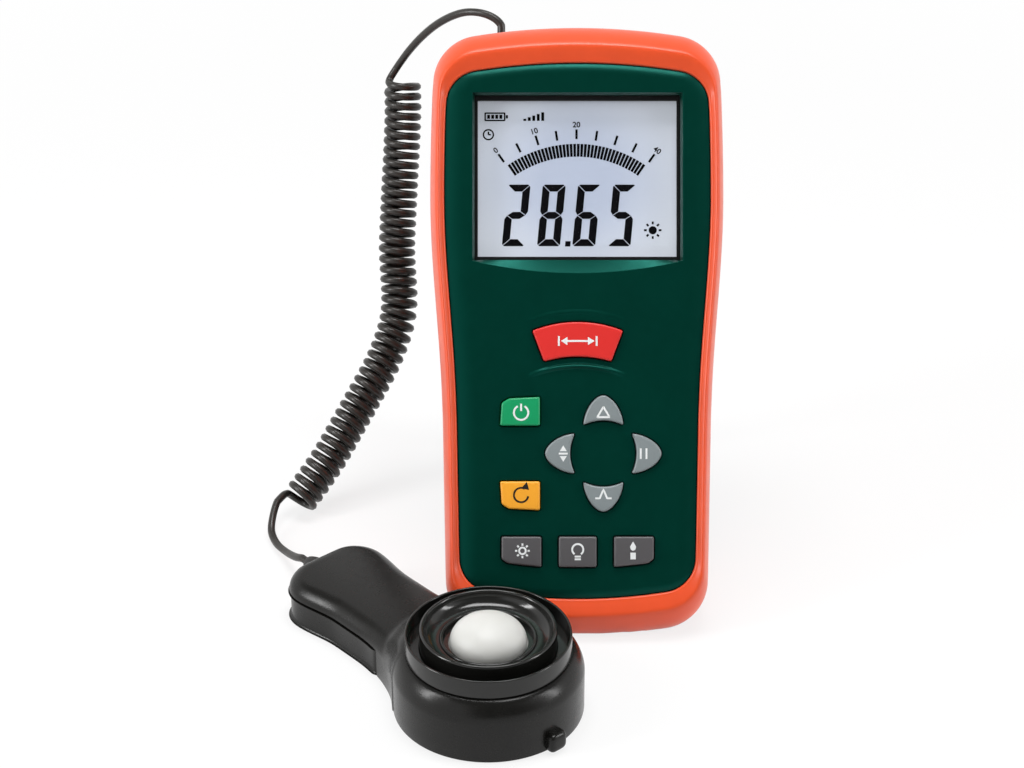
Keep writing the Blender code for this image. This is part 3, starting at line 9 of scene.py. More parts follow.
import bmesh
import bpy
import numpy as np
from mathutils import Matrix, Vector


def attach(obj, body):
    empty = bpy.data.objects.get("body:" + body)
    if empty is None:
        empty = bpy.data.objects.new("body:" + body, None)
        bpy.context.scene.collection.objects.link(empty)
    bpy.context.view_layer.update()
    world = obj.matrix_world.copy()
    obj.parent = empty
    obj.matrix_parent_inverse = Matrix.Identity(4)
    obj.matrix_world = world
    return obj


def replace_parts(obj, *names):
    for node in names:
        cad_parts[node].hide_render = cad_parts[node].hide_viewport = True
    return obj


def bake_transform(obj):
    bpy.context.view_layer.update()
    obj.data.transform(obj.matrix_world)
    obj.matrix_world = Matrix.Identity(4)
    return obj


bl_info = {
    "name": "Light meter looks",
    "version": (1, 0, 0),
    "blender": (4, 5, 0),
    "location": "3D View > Sidebar > Light meter",
    "description": "Finishes, display, icons, cord and stage of a handheld light meter",
    "category": "Object",
}

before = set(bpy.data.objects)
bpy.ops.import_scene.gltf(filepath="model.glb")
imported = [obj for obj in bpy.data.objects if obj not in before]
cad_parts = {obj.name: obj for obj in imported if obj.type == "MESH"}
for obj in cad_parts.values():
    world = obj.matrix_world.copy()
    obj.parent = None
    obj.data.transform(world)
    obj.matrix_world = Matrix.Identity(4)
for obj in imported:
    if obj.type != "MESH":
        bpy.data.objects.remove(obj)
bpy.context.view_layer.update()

# Meter outline and depths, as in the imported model
GAP = 0.0003
METER_LENGTH = 0.150
HEAD_WIDTH = 0.0724
WAIST_WIDTH = 0.0664
FOOT_WIDTH = 0.0648
HEAD_HEIGHT = 0.108
WAIST_HEIGHT = 0.058
FOOT_HEIGHT = 0.015
SWELL_LEAD = 0.006
HEAD_TAPER = 0.0007
CORNER_RADIUS = 0.012
END_SLOPE = math.radians(9)
LEAN = math.radians(29)
SOLE_CUT = 0.0062
FRONT = -0.0175
BACK = 0.0175
FACE = FRONT + 0.0006
FACE_INSIDE = FACE + 0.0030
SHOULDER = FRONT + 0.0027
CASE_SPLIT = -0.0020
BOOT_SIDE_WALL = 0.0020
BOOT_END_WALL = 0.0040
BOOT_SOLE_WALL = 0.0030
LIP_SIDE = 0.0036
LIP_END = 0.0095
LIP_THICKNESS = 0.0024
LIP_EDGE = 0.0006
LIP_SINK = 0.0009
CREST = (0.0021, 0.0054)
CREST_DEPTH = -0.0001
CREST_SOFT = 0.0007
WALL_SIDE = 0.0015
WALL_END = 0.0044
WALL_DEPTH = 0.0085
WALL_POWER = 1.9
BACK_ROUND = (0.0080, 0.0040, 0.0070)
BACK_LIP_SIDE = 0.0068
BACK_LIP_END = 0.0125
BACK_LIP_THICKNESS = 0.0035
BACK_LIP_LOW = 0.0064
CASE_WALL = 0.0022
HINGE_HEIGHT = 0.0980
STAND_CORNER = 0.0050
STAND_RIM = 0.0040
STAND_PANEL = 0.0005
STAND_DRAFT = 0.0002
STAND_LENGTH = 0.0745
STAND_SIDE_MARGIN = 0.0132
STAND_WIDTH = WAIST_WIDTH - 2 * STAND_SIDE_MARGIN
STAND_THICKNESS = 0.0028
STAND_PIN_RADIUS = 0.0011
STAND_PIN_LENGTH = 0.0022
STAND_PIN_EDGE = 0.0002
STAND_RIB_LEVELS = (0.9, 1.4, 1.9, 2.4)
STAND_RIB_MARGIN = 1.6
STAND_RIB_WIDTH = 0.0009
STAND_RIB_RISE = 0.0003
HINGE_DEPTH = BACK - BACK_LIP_THICKNESS + STAND_THICKNESS / 2

# Window, display and buttons on the face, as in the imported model
WINDOW_HALF = 0.0252
WINDOW_LOW = 0.0923
WINDOW_HIGH = 0.1327
WINDOW_DEPTH = 0.0012
SILL_MARGIN = 0.0002
FACE_FLAT = 0.00015
LCD_FRONT = -0.0123
BUTTON_PROUD = 0.0011
FLANGE_FRONT = FACE_INSIDE + GAP
FLANGE_BACK = FLANGE_FRONT + 0.0008
RANGE_LOW = 0.0675
RANGE_HIGH = 0.0750
RANGE_TOP_HALF = 0.01105
RANGE_LOW_HALF = 0.0082
RANGE_TOP_BULGE = 0.0021
RANGE_LOW_BULGE = 0.0012
CROSS_X = 0.00625
CROSS_Z = 0.04505
CROSS_TIP = 0.0142
CROSS_ROOT = 0.00695
CROSS_ROOT_BULGE = 0.00115
CROSS_HALF_WIDTH = 0.00485
CROSS_ROUNDNESS = 1.7
SIDE_KEY_LEFT = -0.0189
SIDE_KEY_RIGHT = -0.0092
SIDE_KEY_INNER = 0.0068
SIDE_KEY_OUTER = 0.0138
KEY_CLIP = 0.0015
LOW_KEY_BOTTOM = 0.0174
LOW_KEY_TOP = 0.0248
LOW_KEY_NEAR = 0.00885
LOW_KEY_FAR = 0.01855
MIDDLE_KEY_HALF = 0.0046
KEY_EASE = 0.00028
KEY_GAP = 0.00022
KEY_HOLE_EDGE = 0.0003
KEY_FLANGE = 0.0006
RIDGE_WIDTH = 0.0018
RIDGE_BULGE = 0.0024
RIDGE_SINK = 0.00002
RIDGE_FOOT = 0.0002
PRINT_WIDTH = 0.00046
PRINT_LAYER = (-0.00006, 0.00003)

# What the display shows; shares are of the digits' height, angles in degrees
INK_LAYER = (-0.00002, 0.00004)
DIGIT_LEFT = -0.0186
DIGIT_FOOT = 0.0958
DIGIT_SLANT = 0.095
DIGIT_PITCH = 0.566
DIGIT_WIDTH = 0.379
DIGIT_UPRIGHT = 0.130
DIGIT_LEVEL = 0.122
DIGIT_PARTING = 0.00008
POINT_SIZE = 0.0013
POINT_LEAD = 0.0017
SCALE_MIDDLE = (-0.00015, 0.0913)
SCALE_RADII = (0.0266, 0.02975)
SCALE_BARS = 40
BAR_PITCH = 1.745
BAR_HALF = 0.66
TICKS = 9
TICK_TURN = 35.2
TICK_RADII = (0.0309, 0.0333)
TICK_WIDTH = 0.00056
NUMBER_RADIUS = 0.0344
NUMBER_SIZE = 0.0019
NUMBER_TURNS = {"0": -35.2, "10": -17.6, "20": 0.0, "40": 35.2}
ICON_WIDTH = 0.00036
CLOCK_PLACE = (-0.0218, 0.1233)
CLOCK_RADIUS = 0.00122
BATTERY_LOW = (-0.0226, 0.1268)
BATTERY_HIGH = (-0.0178, 0.1286)
SUN_PLACE = (0.0186, 0.0998)
SUN_RADIUS = 0.00100
SUN_RAY_RADIUS = 0.00095
SUN_RAY_WIDTH = 0.00048

# Light sensor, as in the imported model
SENSOR_PLACE = (-0.0215, -0.0385)
SENSOR_TURN = math.radians(132)
PUCK_RADIUS = 0.0225
PUCK_HEIGHT = 0.0155
PUCK_WALL = 0.0020
HANDLE_START = 0.0100
HANDLE_REACH = 0.0640
HANDLE_HEIGHT = 0.0117
HANDLE_WAIST = 0.0119
HANDLE_FLARE = 0.0017
HANDLE_FLARE_REACH = 0.0220
HANDLE_FILLET = 0.0077
HANDLE_FILLET_END = 0.034
HANDLE_TAIL_CORNER = 0.0080
NECK_START = 0.0125
NECK_EASE = 0.0009
NECK_FADE = 0.003
SPINE_MARGIN = 0.0135
RAMP_REACH = 0.0075
SEAM_HEIGHT = 0.0070
SEAM_START = 0.0260
SEAM_EDGE = 0.0002
BASE_PROUD = 0.0002
BASE_EDGE = 0.0006
BASE_FOOT_EDGE = 0.0007
BASE_EASE = 0.0011
FLOOR_THICKNESS = 0.0025
COLLAR_RADIUS = 0.0195
COLLAR_RIM_HEIGHT = 0.0203
COLLAR_MOUTH_RADIUS = 0.0160
COLLAR_MOUTH_HEIGHT = 0.0218
COLLAR_STEP_RADIUS = 0.0115
DOME_RADIUS = 0.0090
DOME_BASE = 0.0180
DOME_RISE = 0.0060
RIM_THICKNESS = 0.0006
GROOVE_FLOOR = 0.0007
MOUTH_LIP = 0.0005
RIM_EDGE = 0.00025
BOWL_MARGIN = 0.0003
BOWL_FLOOR = 0.0007
BEAD = 0.00045
BEAD_INSET = 0.0005
SEAT_INSET = 0.0011
DOME_WALL = 0.0014
DOME_FLANGE_RADIUS = 0.0108
DOME_FLANGE_HEIGHT = 0.0012
CAP_LUG_TURN = math.radians(-48)
CAP_LUG_WIDTH = 0.0050
CAP_LUG_HEIGHT = 0.0048
CAP_LUG_REACH = 0.0022
CAP_LUG_SINK = 0.0016
CAP_LUG_POWER = 0.5

# Cord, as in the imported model, with its routes in metres over the bench
CORD_DIAMETER = 0.0020
CURL_RADIUS = 0.00395
CURL_GAP = 0.00053
CURL_STEPS = 32
CORD_STEP = 0.0004
LEAD_STEP = 0.0005
BEND_WINDOW = 25
JOIN_BELL = 14
JOIN_REACH = 0.0040
METER_GLAND_PLACE = (-0.0187, 0.0020)
METER_GLAND_RADIUS = 0.0026
METER_GLAND_LOW = 0.1400
METER_GLAND_STEP = 0.0009
SENSOR_GLAND_RADIUS = 0.0027
SENSOR_GLAND_LENGTH = 0.0045
SENSOR_GLAND_HEIGHT = 0.0062
SENSOR_GLAND_STEM = 0.0017
SENSOR_GLAND_ROOT = -0.0045
SENSOR_GLAND_TAPER = 0.0008
METER_LEAD_ROUTE = (
    (-0.0206, 0.0768, 0.1276), (-0.0238, 0.0784, 0.1283), (-0.0276, 0.0806, 0.1277),
    (-0.0314, 0.0833, 0.1256), (-0.0354, 0.0864, 0.1222), (-0.0391, 0.0894, 0.1180),
    (-0.0425, 0.0924, 0.1132), (-0.0450, 0.0948, 0.1090),
)
COIL_ROUTE = (
    (-0.0449, 0.0950, 0.1030), (-0.0448, 0.0935, 0.0965), (-0.0452, 0.0911, 0.0872),
    (-0.0458, 0.0882, 0.0779), (-0.0464, 0.0845, 0.0677), (-0.0467, 0.0816, 0.0608),
    (-0.0464, 0.0788, 0.0545), (-0.0461, 0.0762, 0.0494), (-0.0465, 0.0736, 0.0443),
    (-0.0481, 0.0707, 0.0391), (-0.0510, 0.0670, 0.0331), (-0.0550, 0.0629, 0.0269),
    (-0.0596, 0.0581, 0.0202), (-0.0642, 0.0530, 0.0137), (-0.0691, 0.0481, 0.0080),
    (-0.0734, 0.0441, 0.0036),
)
SENSOR_LEAD_ROUTE = (
    (-0.0787, 0.0376, 0.0042), (-0.0788, 0.0334, 0.0022), (-0.0771, 0.0287, 0.0015),
    (-0.0742, 0.0233, 0.0024), (-0.0713, 0.0177, 0.0045),
)
COIL_TOP_HEADING = (0.55, 0.25, 0.80)
COIL_FOOT_HEADING = (-0.50, -0.85, -0.15)


# Stage, in metres
CAMERA_PLACE = (-0.0160, -0.5004, 0.3421)
CAMERA_TILT = math.radians(90 - 28.7)
FLOOR_HALF = 3.0
FLOOR_DROP = 0.0002
LAMP_AIM = (-0.02, 0.03, 0.05)
LEFT_STRIP_PLACE = (-0.60, -0.16, 0.34)
RIGHT_STRIP_PLACE = (0.60, -0.12, 0.34)
STRIP_SIZE = (0.11, 0.50)
OVERHEAD_PLACE = (0.0, 0.10, 0.92)
OVERHEAD_SIZE = (0.56, 0.30)


def colour(name, description, default):
    return bpy.props.FloatVectorProperty(
        name=name, description=description, subtype="COLOR", size=3, min=0, max=1, default=default
    )


def length(name, description, default):
    return bpy.props.FloatProperty(
        name=name, description=description, default=default, min=0, precision=5, unit="LENGTH"
    )


def number(name, description, default):
    return bpy.props.FloatProperty(name=name, description=description, default=default)


class MeterLooks(bpy.types.PropertyGroup):
    """Sizes and colours of the meter that a user would change."""

    boot: colour("Boot", "Orange-red rubber of the boot", (0.77, 0.080, 0.020))
    face: colour("Face", "Dark green plastic of the case", (0.0003, 0.0215, 0.0140))
    red: colour("Red key", "Range button", (0.72, 0.018, 0.018))
    green: colour("Green key", "Power button", (0.0, 0.30, 0.095))
    amber: colour("Amber key", "Reset button", (0.98, 0.46, 0.030))
    light_grey: colour("Light grey keys", "Four buttons round a centre", (0.19, 0.205, 0.21))
    dark_grey: colour("Dark grey keys", "Row of three buttons", (0.060, 0.058, 0.060))
    display: colour("Display", "Middle of the liquid crystal panel's film", (0.42, 0.47, 0.585))
    # Painted light: a paler film colour towards the panel's edges. It lifts the shade that the window's recess
    # casts there and stands in for how light falls across the film.
    display_painted_edge_light: colour("Display edge", "Film towards the panel's edges", (0.69, 0.73, 0.80))
    face_round: length("Face edge", "Width of the face's rounded edge at its sides", 0.0048)
    face_round_end: length("Face end", "Width of the face's rounded edge at its ends", 0.0022)
    face_round_depth: length("Face edge depth", "Depth of the rounded edge of the face", 0.0007)
    window_bevel: length("Window bevel", "Width of the bevel round the window", 0.0005)
    sill_drop: length("Sill", "How far the curved sill dips under the window", 0.0030)
    key_dome: length("Key dome", "Rise of a key's top over its edge", 0.00025)
    key_edge: length("Key edge", "Radius of a key's top edge", 0.00045)
    digit_height: length("Digit height", "Height of the large digits", 0.0153)
    reading: bpy.props.StringProperty(
        name="Reading", description="Four digits that the display shows", default="2865"
    )


class SensorLooks(bpy.types.PropertyGroup):
    """Sizes and colours of the sensor and its cord that a user would change."""

    shell: colour("Shell", "Satin near-black plastic of the sensor", (0.0065, 0.0062, 0.0054))
    collar: colour("Collar", "Glossy black plastic round the dome", (0.010, 0.010, 0.009))
    dome: colour("Dome", "White plastic of the diffuser", (0.66, 0.66, 0.63))
    cord: colour("Cord", "Jacket of the curly cord", (0.022, 0.020, 0.017))
    edge: length("Shell edge", "Radius of the shell's upper edge", 0.0034)
    crown: length("Handle crown", "Rise of the handle's top over its sides", 0.0007)


class StageLooks(bpy.types.PropertyGroup):
    """Light and camera."""

    left_light: number("Left light", "Watts of the left strip", 3.0)
    right_light: number("Right light", "Watts of the right strip", 1.9)
    top_light: number("Top light", "Watts of the overhead softbox", 6.2)
    ambient: number("Ambient", "Even light from all round", 0.22)
    ceiling: number("Ceiling", "Light of the ceiling as gloss shows it", 0.2)
    floor_glow: number("Floor white", "Share of plain white in the floor", 0.80)
    lens: number("Lens", "Focal length in millimetres", 85.0)
    shift: number("Shift", "Camera shift that frames the object", -0.0125)


# Placing


def leaned(points):
    """Meter frame to bench: a turn by the lean about X, then down by the sole's cut."""
    x, y, z = np.moveaxis(np.asarray(points, float), -1, 0)
    cos, sin = math.cos(LEAN), math.sin(LEAN)
    return np.stack([x, y * cos + z * sin, z * cos - y * sin - SOLE_CUT], axis=-1)


def on_sensor(points):
    """Sensor frame to bench: a turn about Z, then a move to the sensor's middle."""
    x, y, z = np.moveaxis(np.asarray(points, float), -1, 0)
    cos, sin = math.cos(SENSOR_TURN), math.sin(SENSOR_TURN)
    return np.stack([SENSOR_PLACE[0] + x * cos - y * sin, SENSOR_PLACE[1] + x * sin + y * cos, z], axis=-1)


def raised(points, level):
    """Points below a level over the bench, moved up along the meter's length to that level."""
    short = np.maximum(level - points[..., 2], 0)
    return points + short[..., None] * np.array([0, math.tan(LEAN), 1])


def at_depth(flat, depth):
    """Points of the face's plane, across and up, put at a depth of the meter frame."""
    flat = np.asarray(flat, float)
    return np.stack([flat[..., 0], np.broadcast_to(depth, flat.shape[:-1]), flat[..., 1]], axis=-1)


# Meshes


def grid_quads(rows, columns, wrap_rows=False, wrap_columns=True):
    """Corner numbers of a grid's quads, row by row."""
    row = np.arange(rows if wrap_rows else rows - 1)[:, None]
    column = np.arange(columns if wrap_columns else columns - 1)[None]
    next_row, next_column = (row + 1) % rows, (column + 1) % columns
    corners = (row, column), (row, next_column), (next_row, next_column), (next_row, column)
    return np.stack([r * columns + c for r, c in corners], axis=-1).reshape(-1, 4)


class Shape:
    """Points and faces gathered from several grids, and the loops that flat fills close."""

    def __init__(self):
        self.points = []
        self.faces = []
        self.fills = []
        self.count = 0

    def add(self, points, faces):
        """Adds an array of points with faces numbered from its first point; gives that first number."""
        start = self.count
        points = np.asarray(points, float).reshape(-1, 3)
        self.points.append(points)
        self.faces += [(start + np.asarray(face)).tolist() for face in faces]
        self.count += len(points)
        return start

    def grid(self, points, wrap_rows=False, wrap_columns=True):
        """Adds a surface given as rows of points, and gives the numbers of its first and last row."""
        rows, columns = points.shape[:2]
        start = self.add(points, grid_quads(rows, columns, wrap_rows, wrap_columns))
        last = start + (rows - 1) * columns
        return np.arange(start, start + columns), np.arange(last, last + columns)

    def lathe(self, profile, place, steps=128):
        """Adds a profile of radius and height turned a full circle about the upright axis, then placed."""
        profile = np.asarray(profile, float)
        turn = np.linspace(0, 2 * math.pi, steps, endpoint=False)
        radius, height = profile[:, :1], np.broadcast_to(profile[:, 1:], (len(profile), steps))
        points = np.stack([radius * np.cos(turn), radius * np.sin(turn), height], axis=-1)
        self.grid(place(points))

    def block(self, flat, place, low, high):
        """Adds a flat outline carried between two distances over a surface."""
        flat = np.asarray(flat, float)
        self.grid(np.stack([place(flat, low), place(flat, high)]))
        first = self.count - 2 * len(flat)
        self.faces.append(list(range(first, first + len(flat))))
        self.faces.append(list(range(first + len(flat), first + 2 * len(flat))))

    def stroke(self, path, width, place, low, high, closed=False):
        """Adds a line of a width drawn along a flat path, carried between two distances over a surface."""
        path = np.asarray(path, float)
        ahead = np.gradient(path, axis=0)
        if closed:
            ahead = np.roll(path, -1, axis=0) - np.roll(path, 1, axis=0)
        ahead /= np.linalg.norm(ahead, axis=1, keepdims=True)
        side = np.stack([-ahead[:, 1], ahead[:, 0]], axis=1) * width / 2
        left, right = path + side, path - side
        corners = [place(left, low), place(right, low), place(right, high), place(left, high)]
        ring = np.stack(corners, axis=1)
        first, last = self.grid(ring, wrap_rows=closed)
        if not closed:
            self.faces += [list(map(int, first)), list(map(int, last))]

    def piece(self, name, material, body, slot, sharp=35.0):
        """The mesh object: flat fills made, doubles merged, faces turned outwards, riding on its body."""
        mesh = bpy.data.meshes.new(name)
        mesh.from_pydata(np.concatenate(self.points).tolist(), [], self.faces)
        work = bmesh.new()
        work.from_mesh(mesh)
        rim = work.verts.layers.int.new("rim")
        work.verts.ensure_lookup_table()
        for loops in self.fills:
            edges = []
            for loop in loops:
                corners = [work.verts[int(i)] for i in loop]
                for corner in corners:
                    corner[rim] = 1
                edges += [work.edges.get(pair) for pair in zip(corners, corners[1:] + corners[:1])]
            bmesh.ops.triangle_fill(work, edges=edges, use_beauty=True)
        bmesh.ops.remove_doubles(work, verts=work.verts, dist=1e-7)
        bmesh.ops.dissolve_degenerate(work, edges=work.edges, dist=1e-8)
        bmesh.ops.recalc_face_normals(work, faces=work.faces)
        work.to_mesh(mesh)
        work.free()
        mesh.shade_smooth()
        mesh.set_sharp_from_angle(angle=math.radians(sharp))
        flatten_fills(mesh)
        mesh.materials.append(material)
        made = bpy.data.objects.new(name, mesh)
        bpy.context.scene.collection.objects.link(made)
        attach(made, body)
        return made


def flatten_fills(mesh):
    """Shades each triangle that has all its corners on the rims of fills flat, so that slivers don't show."""
    marks = mesh.attributes["rim"]
    on_rim = np.zeros(len(mesh.vertices), int)
    marks.data.foreach_get("value", on_rim)
    mesh.attributes.remove(marks)
    corners = np.zeros(len(mesh.loops), int)
    mesh.loops.foreach_get("vertex_index", corners)
    starts, sizes = np.zeros((2, len(mesh.polygons)), int)
    mesh.polygons.foreach_get("loop_start", starts)
    mesh.polygons.foreach_get("loop_total", sizes)
    flat = np.logical_and.reduceat(on_rim[corners] > 0, starts) & (sizes == 3)
    mesh.polygons.foreach_set("use_smooth", ~flat)


# Outlines


def smooth_step(value, low, high):
    share = np.clip((value - low) / (high - low), 0, 1)
    return share * share * (3 - 2 * share)


def half_width(z):
    """Half the boot's width at a height: wide head, waist, then a slight taper to the foot."""
    up_grip = np.minimum((z - FOOT_HEIGHT) / (WAIST_HEIGHT - FOOT_HEIGHT), 1)
    grip = FOOT_WIDTH + (WAIST_WIDTH - FOOT_WIDTH) * up_grip
    width = grip + (HEAD_WIDTH - grip) * smooth_step(z, WAIST_HEIGHT - SWELL_LEAD, HEAD_HEIGHT)
    over = np.maximum(z - HEAD_HEIGHT, 0) / (METER_LENGTH - HEAD_HEIGHT)
    return width / 2 - 2 * HEAD_TAPER * over * over


def meter_outline(side, end, edge_steps=26, arc_steps=18, side_steps=64):
    """The meter's outline drawn in at its sides and ends, anticlockwise.

    Each end is a parabola, each corner an arc tangent to it, and each side follows the half width.
    """
    corner = max(CORNER_RADIUS - side, CORNER_RADIUS / 4)
    ends = []
    for middle_z in (end + corner, METER_LENGTH - end - corner):
        middle_x = half_width(middle_z) - side - corner
        reach = middle_x + corner * math.sin(END_SLOPE)
        crown = reach * math.tan(END_SLOPE) / 2
        lift = crown - corner * (1 - math.cos(END_SLOPE))
        x = np.linspace(0, reach, edge_steps, endpoint=False)
        turn = np.linspace(END_SLOPE, math.pi / 2, arc_steps + 1)
        edge = np.stack([x, crown * (x / reach) ** 2], axis=1)
        arc = np.stack([middle_x + corner * np.sin(turn), lift + corner * (1 - np.cos(turn))], axis=1)
        ends.append(np.concatenate([edge, arc]))
    low = ends[0] + (0, end)
    high = ends[1][::-1] * (1, -1) + (0, METER_LENGTH - end)
    z = np.linspace(low[-1, 1], high[0, 1], side_steps + 1)[1:-1]
    right = np.concatenate([low, np.stack([half_width(z) - side, z], axis=1), high])
    return np.concatenate([right, right[-2:0:-1] * (-1, 1)])


def meter_rows(layers):
    """Outlines of the meter for rows of depth, side inset, end inset and lowest height over the bench."""
    rows = []
    for depth, side, end, low in layers:
        rows.append(raised(leaned(at_depth(meter_outline(side, end), depth)), low))
    return np.stack(rows)


def box_corners(low, high):
    """The corners of an upright box, anticlockwise from its lower left."""
    return np.array([low, (high[0], low[1]), high, (low[0], high[1])])


def evenly(points, count):
    """A closed outline at a count of equal steps along its length."""
    ring = np.concatenate([points, points[:1]])
    run = np.concatenate([[0], np.cumsum(np.linalg.norm(np.diff(ring, axis=0), axis=1))])
    even = np.linspace(0, run[-1], count, endpoint=False)
    return np.stack([np.interp(even, run, ring[:, k]) for k in range(2)], axis=1)


def eased(points, reach, count=144):
    """An outline with its corners eased: even steps, then a running mean of a bell shape along its length."""
    even = evenly(np.asarray(points, float), 4 * count)
    step = np.linalg.norm(even[1] - even[0])
    lag = np.minimum(np.arange(4 * count), 4 * count - np.arange(4 * count)) * step
    bell = np.exp(-((lag / reach) ** 2) / 2)
    bell /= bell.sum()
    mean = np.fft.ifft(np.fft.fft(even, axis=0) * np.fft.fft(bell)[:, None], axis=0).real
    return evenly(mean, count)


def grown(points, by):
    """An anticlockwise outline moved outwards along its mean normals."""
    ahead = np.roll(points, -1, axis=0) - np.roll(points, 1, axis=0)
    ahead /= np.linalg.norm(ahead, axis=1, keepdims=True)
    return points + by * np.stack([ahead[:, 1], -ahead[:, 0]], axis=1)


def arc(middle, radius, start, end, steps=32):
    """Points on a circle from one angle to another, in degrees."""
    turn = np.radians(np.linspace(start, end, steps))
    return np.stack([middle[0] + radius * np.cos(turn), middle[1] + radius * np.sin(turn)], axis=1)


def quarter(steps):
    """Shares of depth and of inset along a rounded edge, from its crest to its side."""
    turn = np.linspace(0, math.pi / 2, steps + 1)
    return 1 - np.cos(turn), 1 - np.sin(turn)


def quarter_turn(steps):
    """Pairs of cosine and sine at even steps over a quarter turn."""
    turn = np.linspace(0, math.pi / 2, steps)
    return list(zip(np.cos(turn), np.sin(turn)))


def range_outline():
    """The range key: a top edge and a bottom edge that are shallow arches, joined by slanted sides."""
    share = np.linspace(-1, 1, 25)
    under = np.stack([RANGE_LOW_HALF * share, RANGE_LOW + RANGE_LOW_BULGE * (1 - share**2)], axis=1)
    over = np.stack([-RANGE_TOP_HALF * share, RANGE_HIGH + RANGE_TOP_BULGE * (1 - share**2)], axis=1)
    return np.concatenate([under, over])


def cross_outline(turn):
    """One key of the round cluster: a superellipse tip over a hollow root, turned about the middle."""
    power = 2 / CROSS_ROUNDNESS
    t = np.linspace(0, math.pi, 41)
    tip_x = CROSS_HALF_WIDTH * np.sign(np.cos(t)) * np.abs(np.cos(t)) ** power
    tip_z = CROSS_ROOT + (CROSS_TIP - CROSS_ROOT) * np.abs(np.sin(t)) ** power
    root_x = np.linspace(-CROSS_HALF_WIDTH, CROSS_HALF_WIDTH, 17)[1:-1]
    root_z = CROSS_ROOT + CROSS_ROOT_BULGE * (1 - (root_x / CROSS_HALF_WIDTH) ** 2)
    x, z = np.concatenate([tip_x, root_x]), np.concatenate([tip_z, root_z])
    cos, sin = math.cos(turn), math.sin(turn)
    return np.stack([CROSS_X + x * cos - z * sin, CROSS_Z + x * sin + z * cos], axis=1)


def key_outlines():
    """Each key's outline on the face, anticlockwise and with eased corners."""
    clip = KEY_CLIP
    upper_left = np.array([
        (SIDE_KEY_LEFT, CROSS_Z + SIDE_KEY_INNER), (SIDE_KEY_RIGHT, CROSS_Z + SIDE_KEY_INNER),
        (SIDE_KEY_RIGHT, CROSS_Z + SIDE_KEY_OUTER),
        (SIDE_KEY_LEFT + 1.4 * clip, CROSS_Z + SIDE_KEY_OUTER - clip / 4),
        (SIDE_KEY_LEFT + clip / 4, CROSS_Z + SIDE_KEY_OUTER - clip),
    ])
    low_right = np.array([
        (LOW_KEY_NEAR, LOW_KEY_BOTTOM), (LOW_KEY_FAR - clip, LOW_KEY_BOTTOM + 0.6 * clip),
        (LOW_KEY_FAR, LOW_KEY_BOTTOM + 1.3 * clip), (LOW_KEY_FAR, LOW_KEY_TOP), (LOW_KEY_NEAR, LOW_KEY_TOP),
    ])
    middle = box_corners((-MIDDLE_KEY_HALF, LOW_KEY_BOTTOM), (MIDDLE_KEY_HALF, LOW_KEY_TOP))
    found = {
        "range_button": range_outline(),
        "power_button": upper_left,
        "reset_button": upper_left[::-1] * (1, -1) + (0, 2 * CROSS_Z),
        "relative_button": cross_outline(0),
        "max_min_button": cross_outline(math.pi / 2),
        "peak_button": cross_outline(math.pi),
        "hold_button": cross_outline(-math.pi / 2),
        "backlight_button": low_right[::-1] * (-1, 1),
        "lux_button": middle,
        "footcandle_button": low_right,
    }
    return {name: eased(points, KEY_EASE) for name, points in found.items()}


# Finishes


class Finish:
    """A material with its Principled shader, and helpers that add procedural detail on Object coordinates."""

    def __init__(self, name, roughness=0.4, metallic=0.0):
        self.material = bpy.data.materials.new(name)
        self.material.use_nodes = True
        self.nodes = self.material.node_tree.nodes
        self.links = self.material.node_tree.links
        self.shader = self.nodes["Principled BSDF"]
        self.shader.inputs["Roughness"].default_value = roughness
        self.shader.inputs["Metallic"].default_value = metallic
        self.place = self.nodes.new("ShaderNodeTexCoord").outputs["Object"]

    def set(self, **values):
        """Sets sockets of the shader by their names, with _ for a space."""
        for name, value in values.items():
            self.shader.inputs[name.replace("_", " ")].default_value = value
        return self

    def noise(self, scale, detail=3.0, roughness=0.55, stretch=None):
        """A noise pattern at a scale in cycles per metre, stretched along the axes if asked."""
        made = self.nodes.new("ShaderNodeTexNoise")
        made.inputs["Scale"].default_value = scale
        made.inputs["Detail"].default_value = detail
        made.inputs["Roughness"].default_value = roughness
        source = self.place
        if stretch:
            mapping = self.nodes.new("ShaderNodeMapping")
            mapping.inputs["Scale"].default_value = stretch
            self.links.new(self.place, mapping.inputs["Vector"])
            source = mapping.outputs["Vector"]
        self.links.new(source, made.inputs["Vector"])
        return made.outputs["Fac"]

    def spread(self, value, low, high):
        """A value from 0 to 1 mapped between two numbers."""
        made = self.nodes.new("ShaderNodeMapRange")
        made.inputs["From Min"].default_value = 0.25
        made.inputs["From Max"].default_value = 0.75
        made.inputs["To Min"].default_value = low
        made.inputs["To Max"].default_value = high
        self.links.new(value, made.inputs["Value"])
        return made.outputs["Result"]

    def mottled(self, base, scale, dark=0.90, light=1.08):
        """Base colour that varies softly between a darker and a lighter tone of itself."""
        ramp = self.nodes.new("ShaderNodeValToRGB")
        ramp.color_ramp.elements[0].position = 0.3
        ramp.color_ramp.elements[1].position = 0.7
        ramp.color_ramp.elements[0].color = (*[min(c * dark, 1) for c in base], 1)
        ramp.color_ramp.elements[1].color = (*[min(c * light, 1) for c in base], 1)
        self.links.new(self.noise(scale), ramp.inputs["Fac"])
        self.links.new(ramp.outputs["Color"], self.shader.inputs["Base Color"])
        return self

    def grained(self, scale, depth, strength=0.5, detail=2.0, stretch=None):
        """A moulded grain: noise as a bump of a depth in metres."""
        bump = self.nodes.new("ShaderNodeBump")
        bump.inputs["Strength"].default_value = strength
        bump.inputs["Distance"].default_value = depth
        self.links.new(self.noise(scale, detail, stretch=stretch), bump.inputs["Height"])
        self.links.new(bump.outputs["Normal"], self.shader.inputs["Normal"])
        return self

    def worn(self, scale, low, high):
        """Roughness that varies between two values."""
        self.links.new(self.spread(self.noise(scale, 4.0), low, high), self.shader.inputs["Roughness"])
        return self


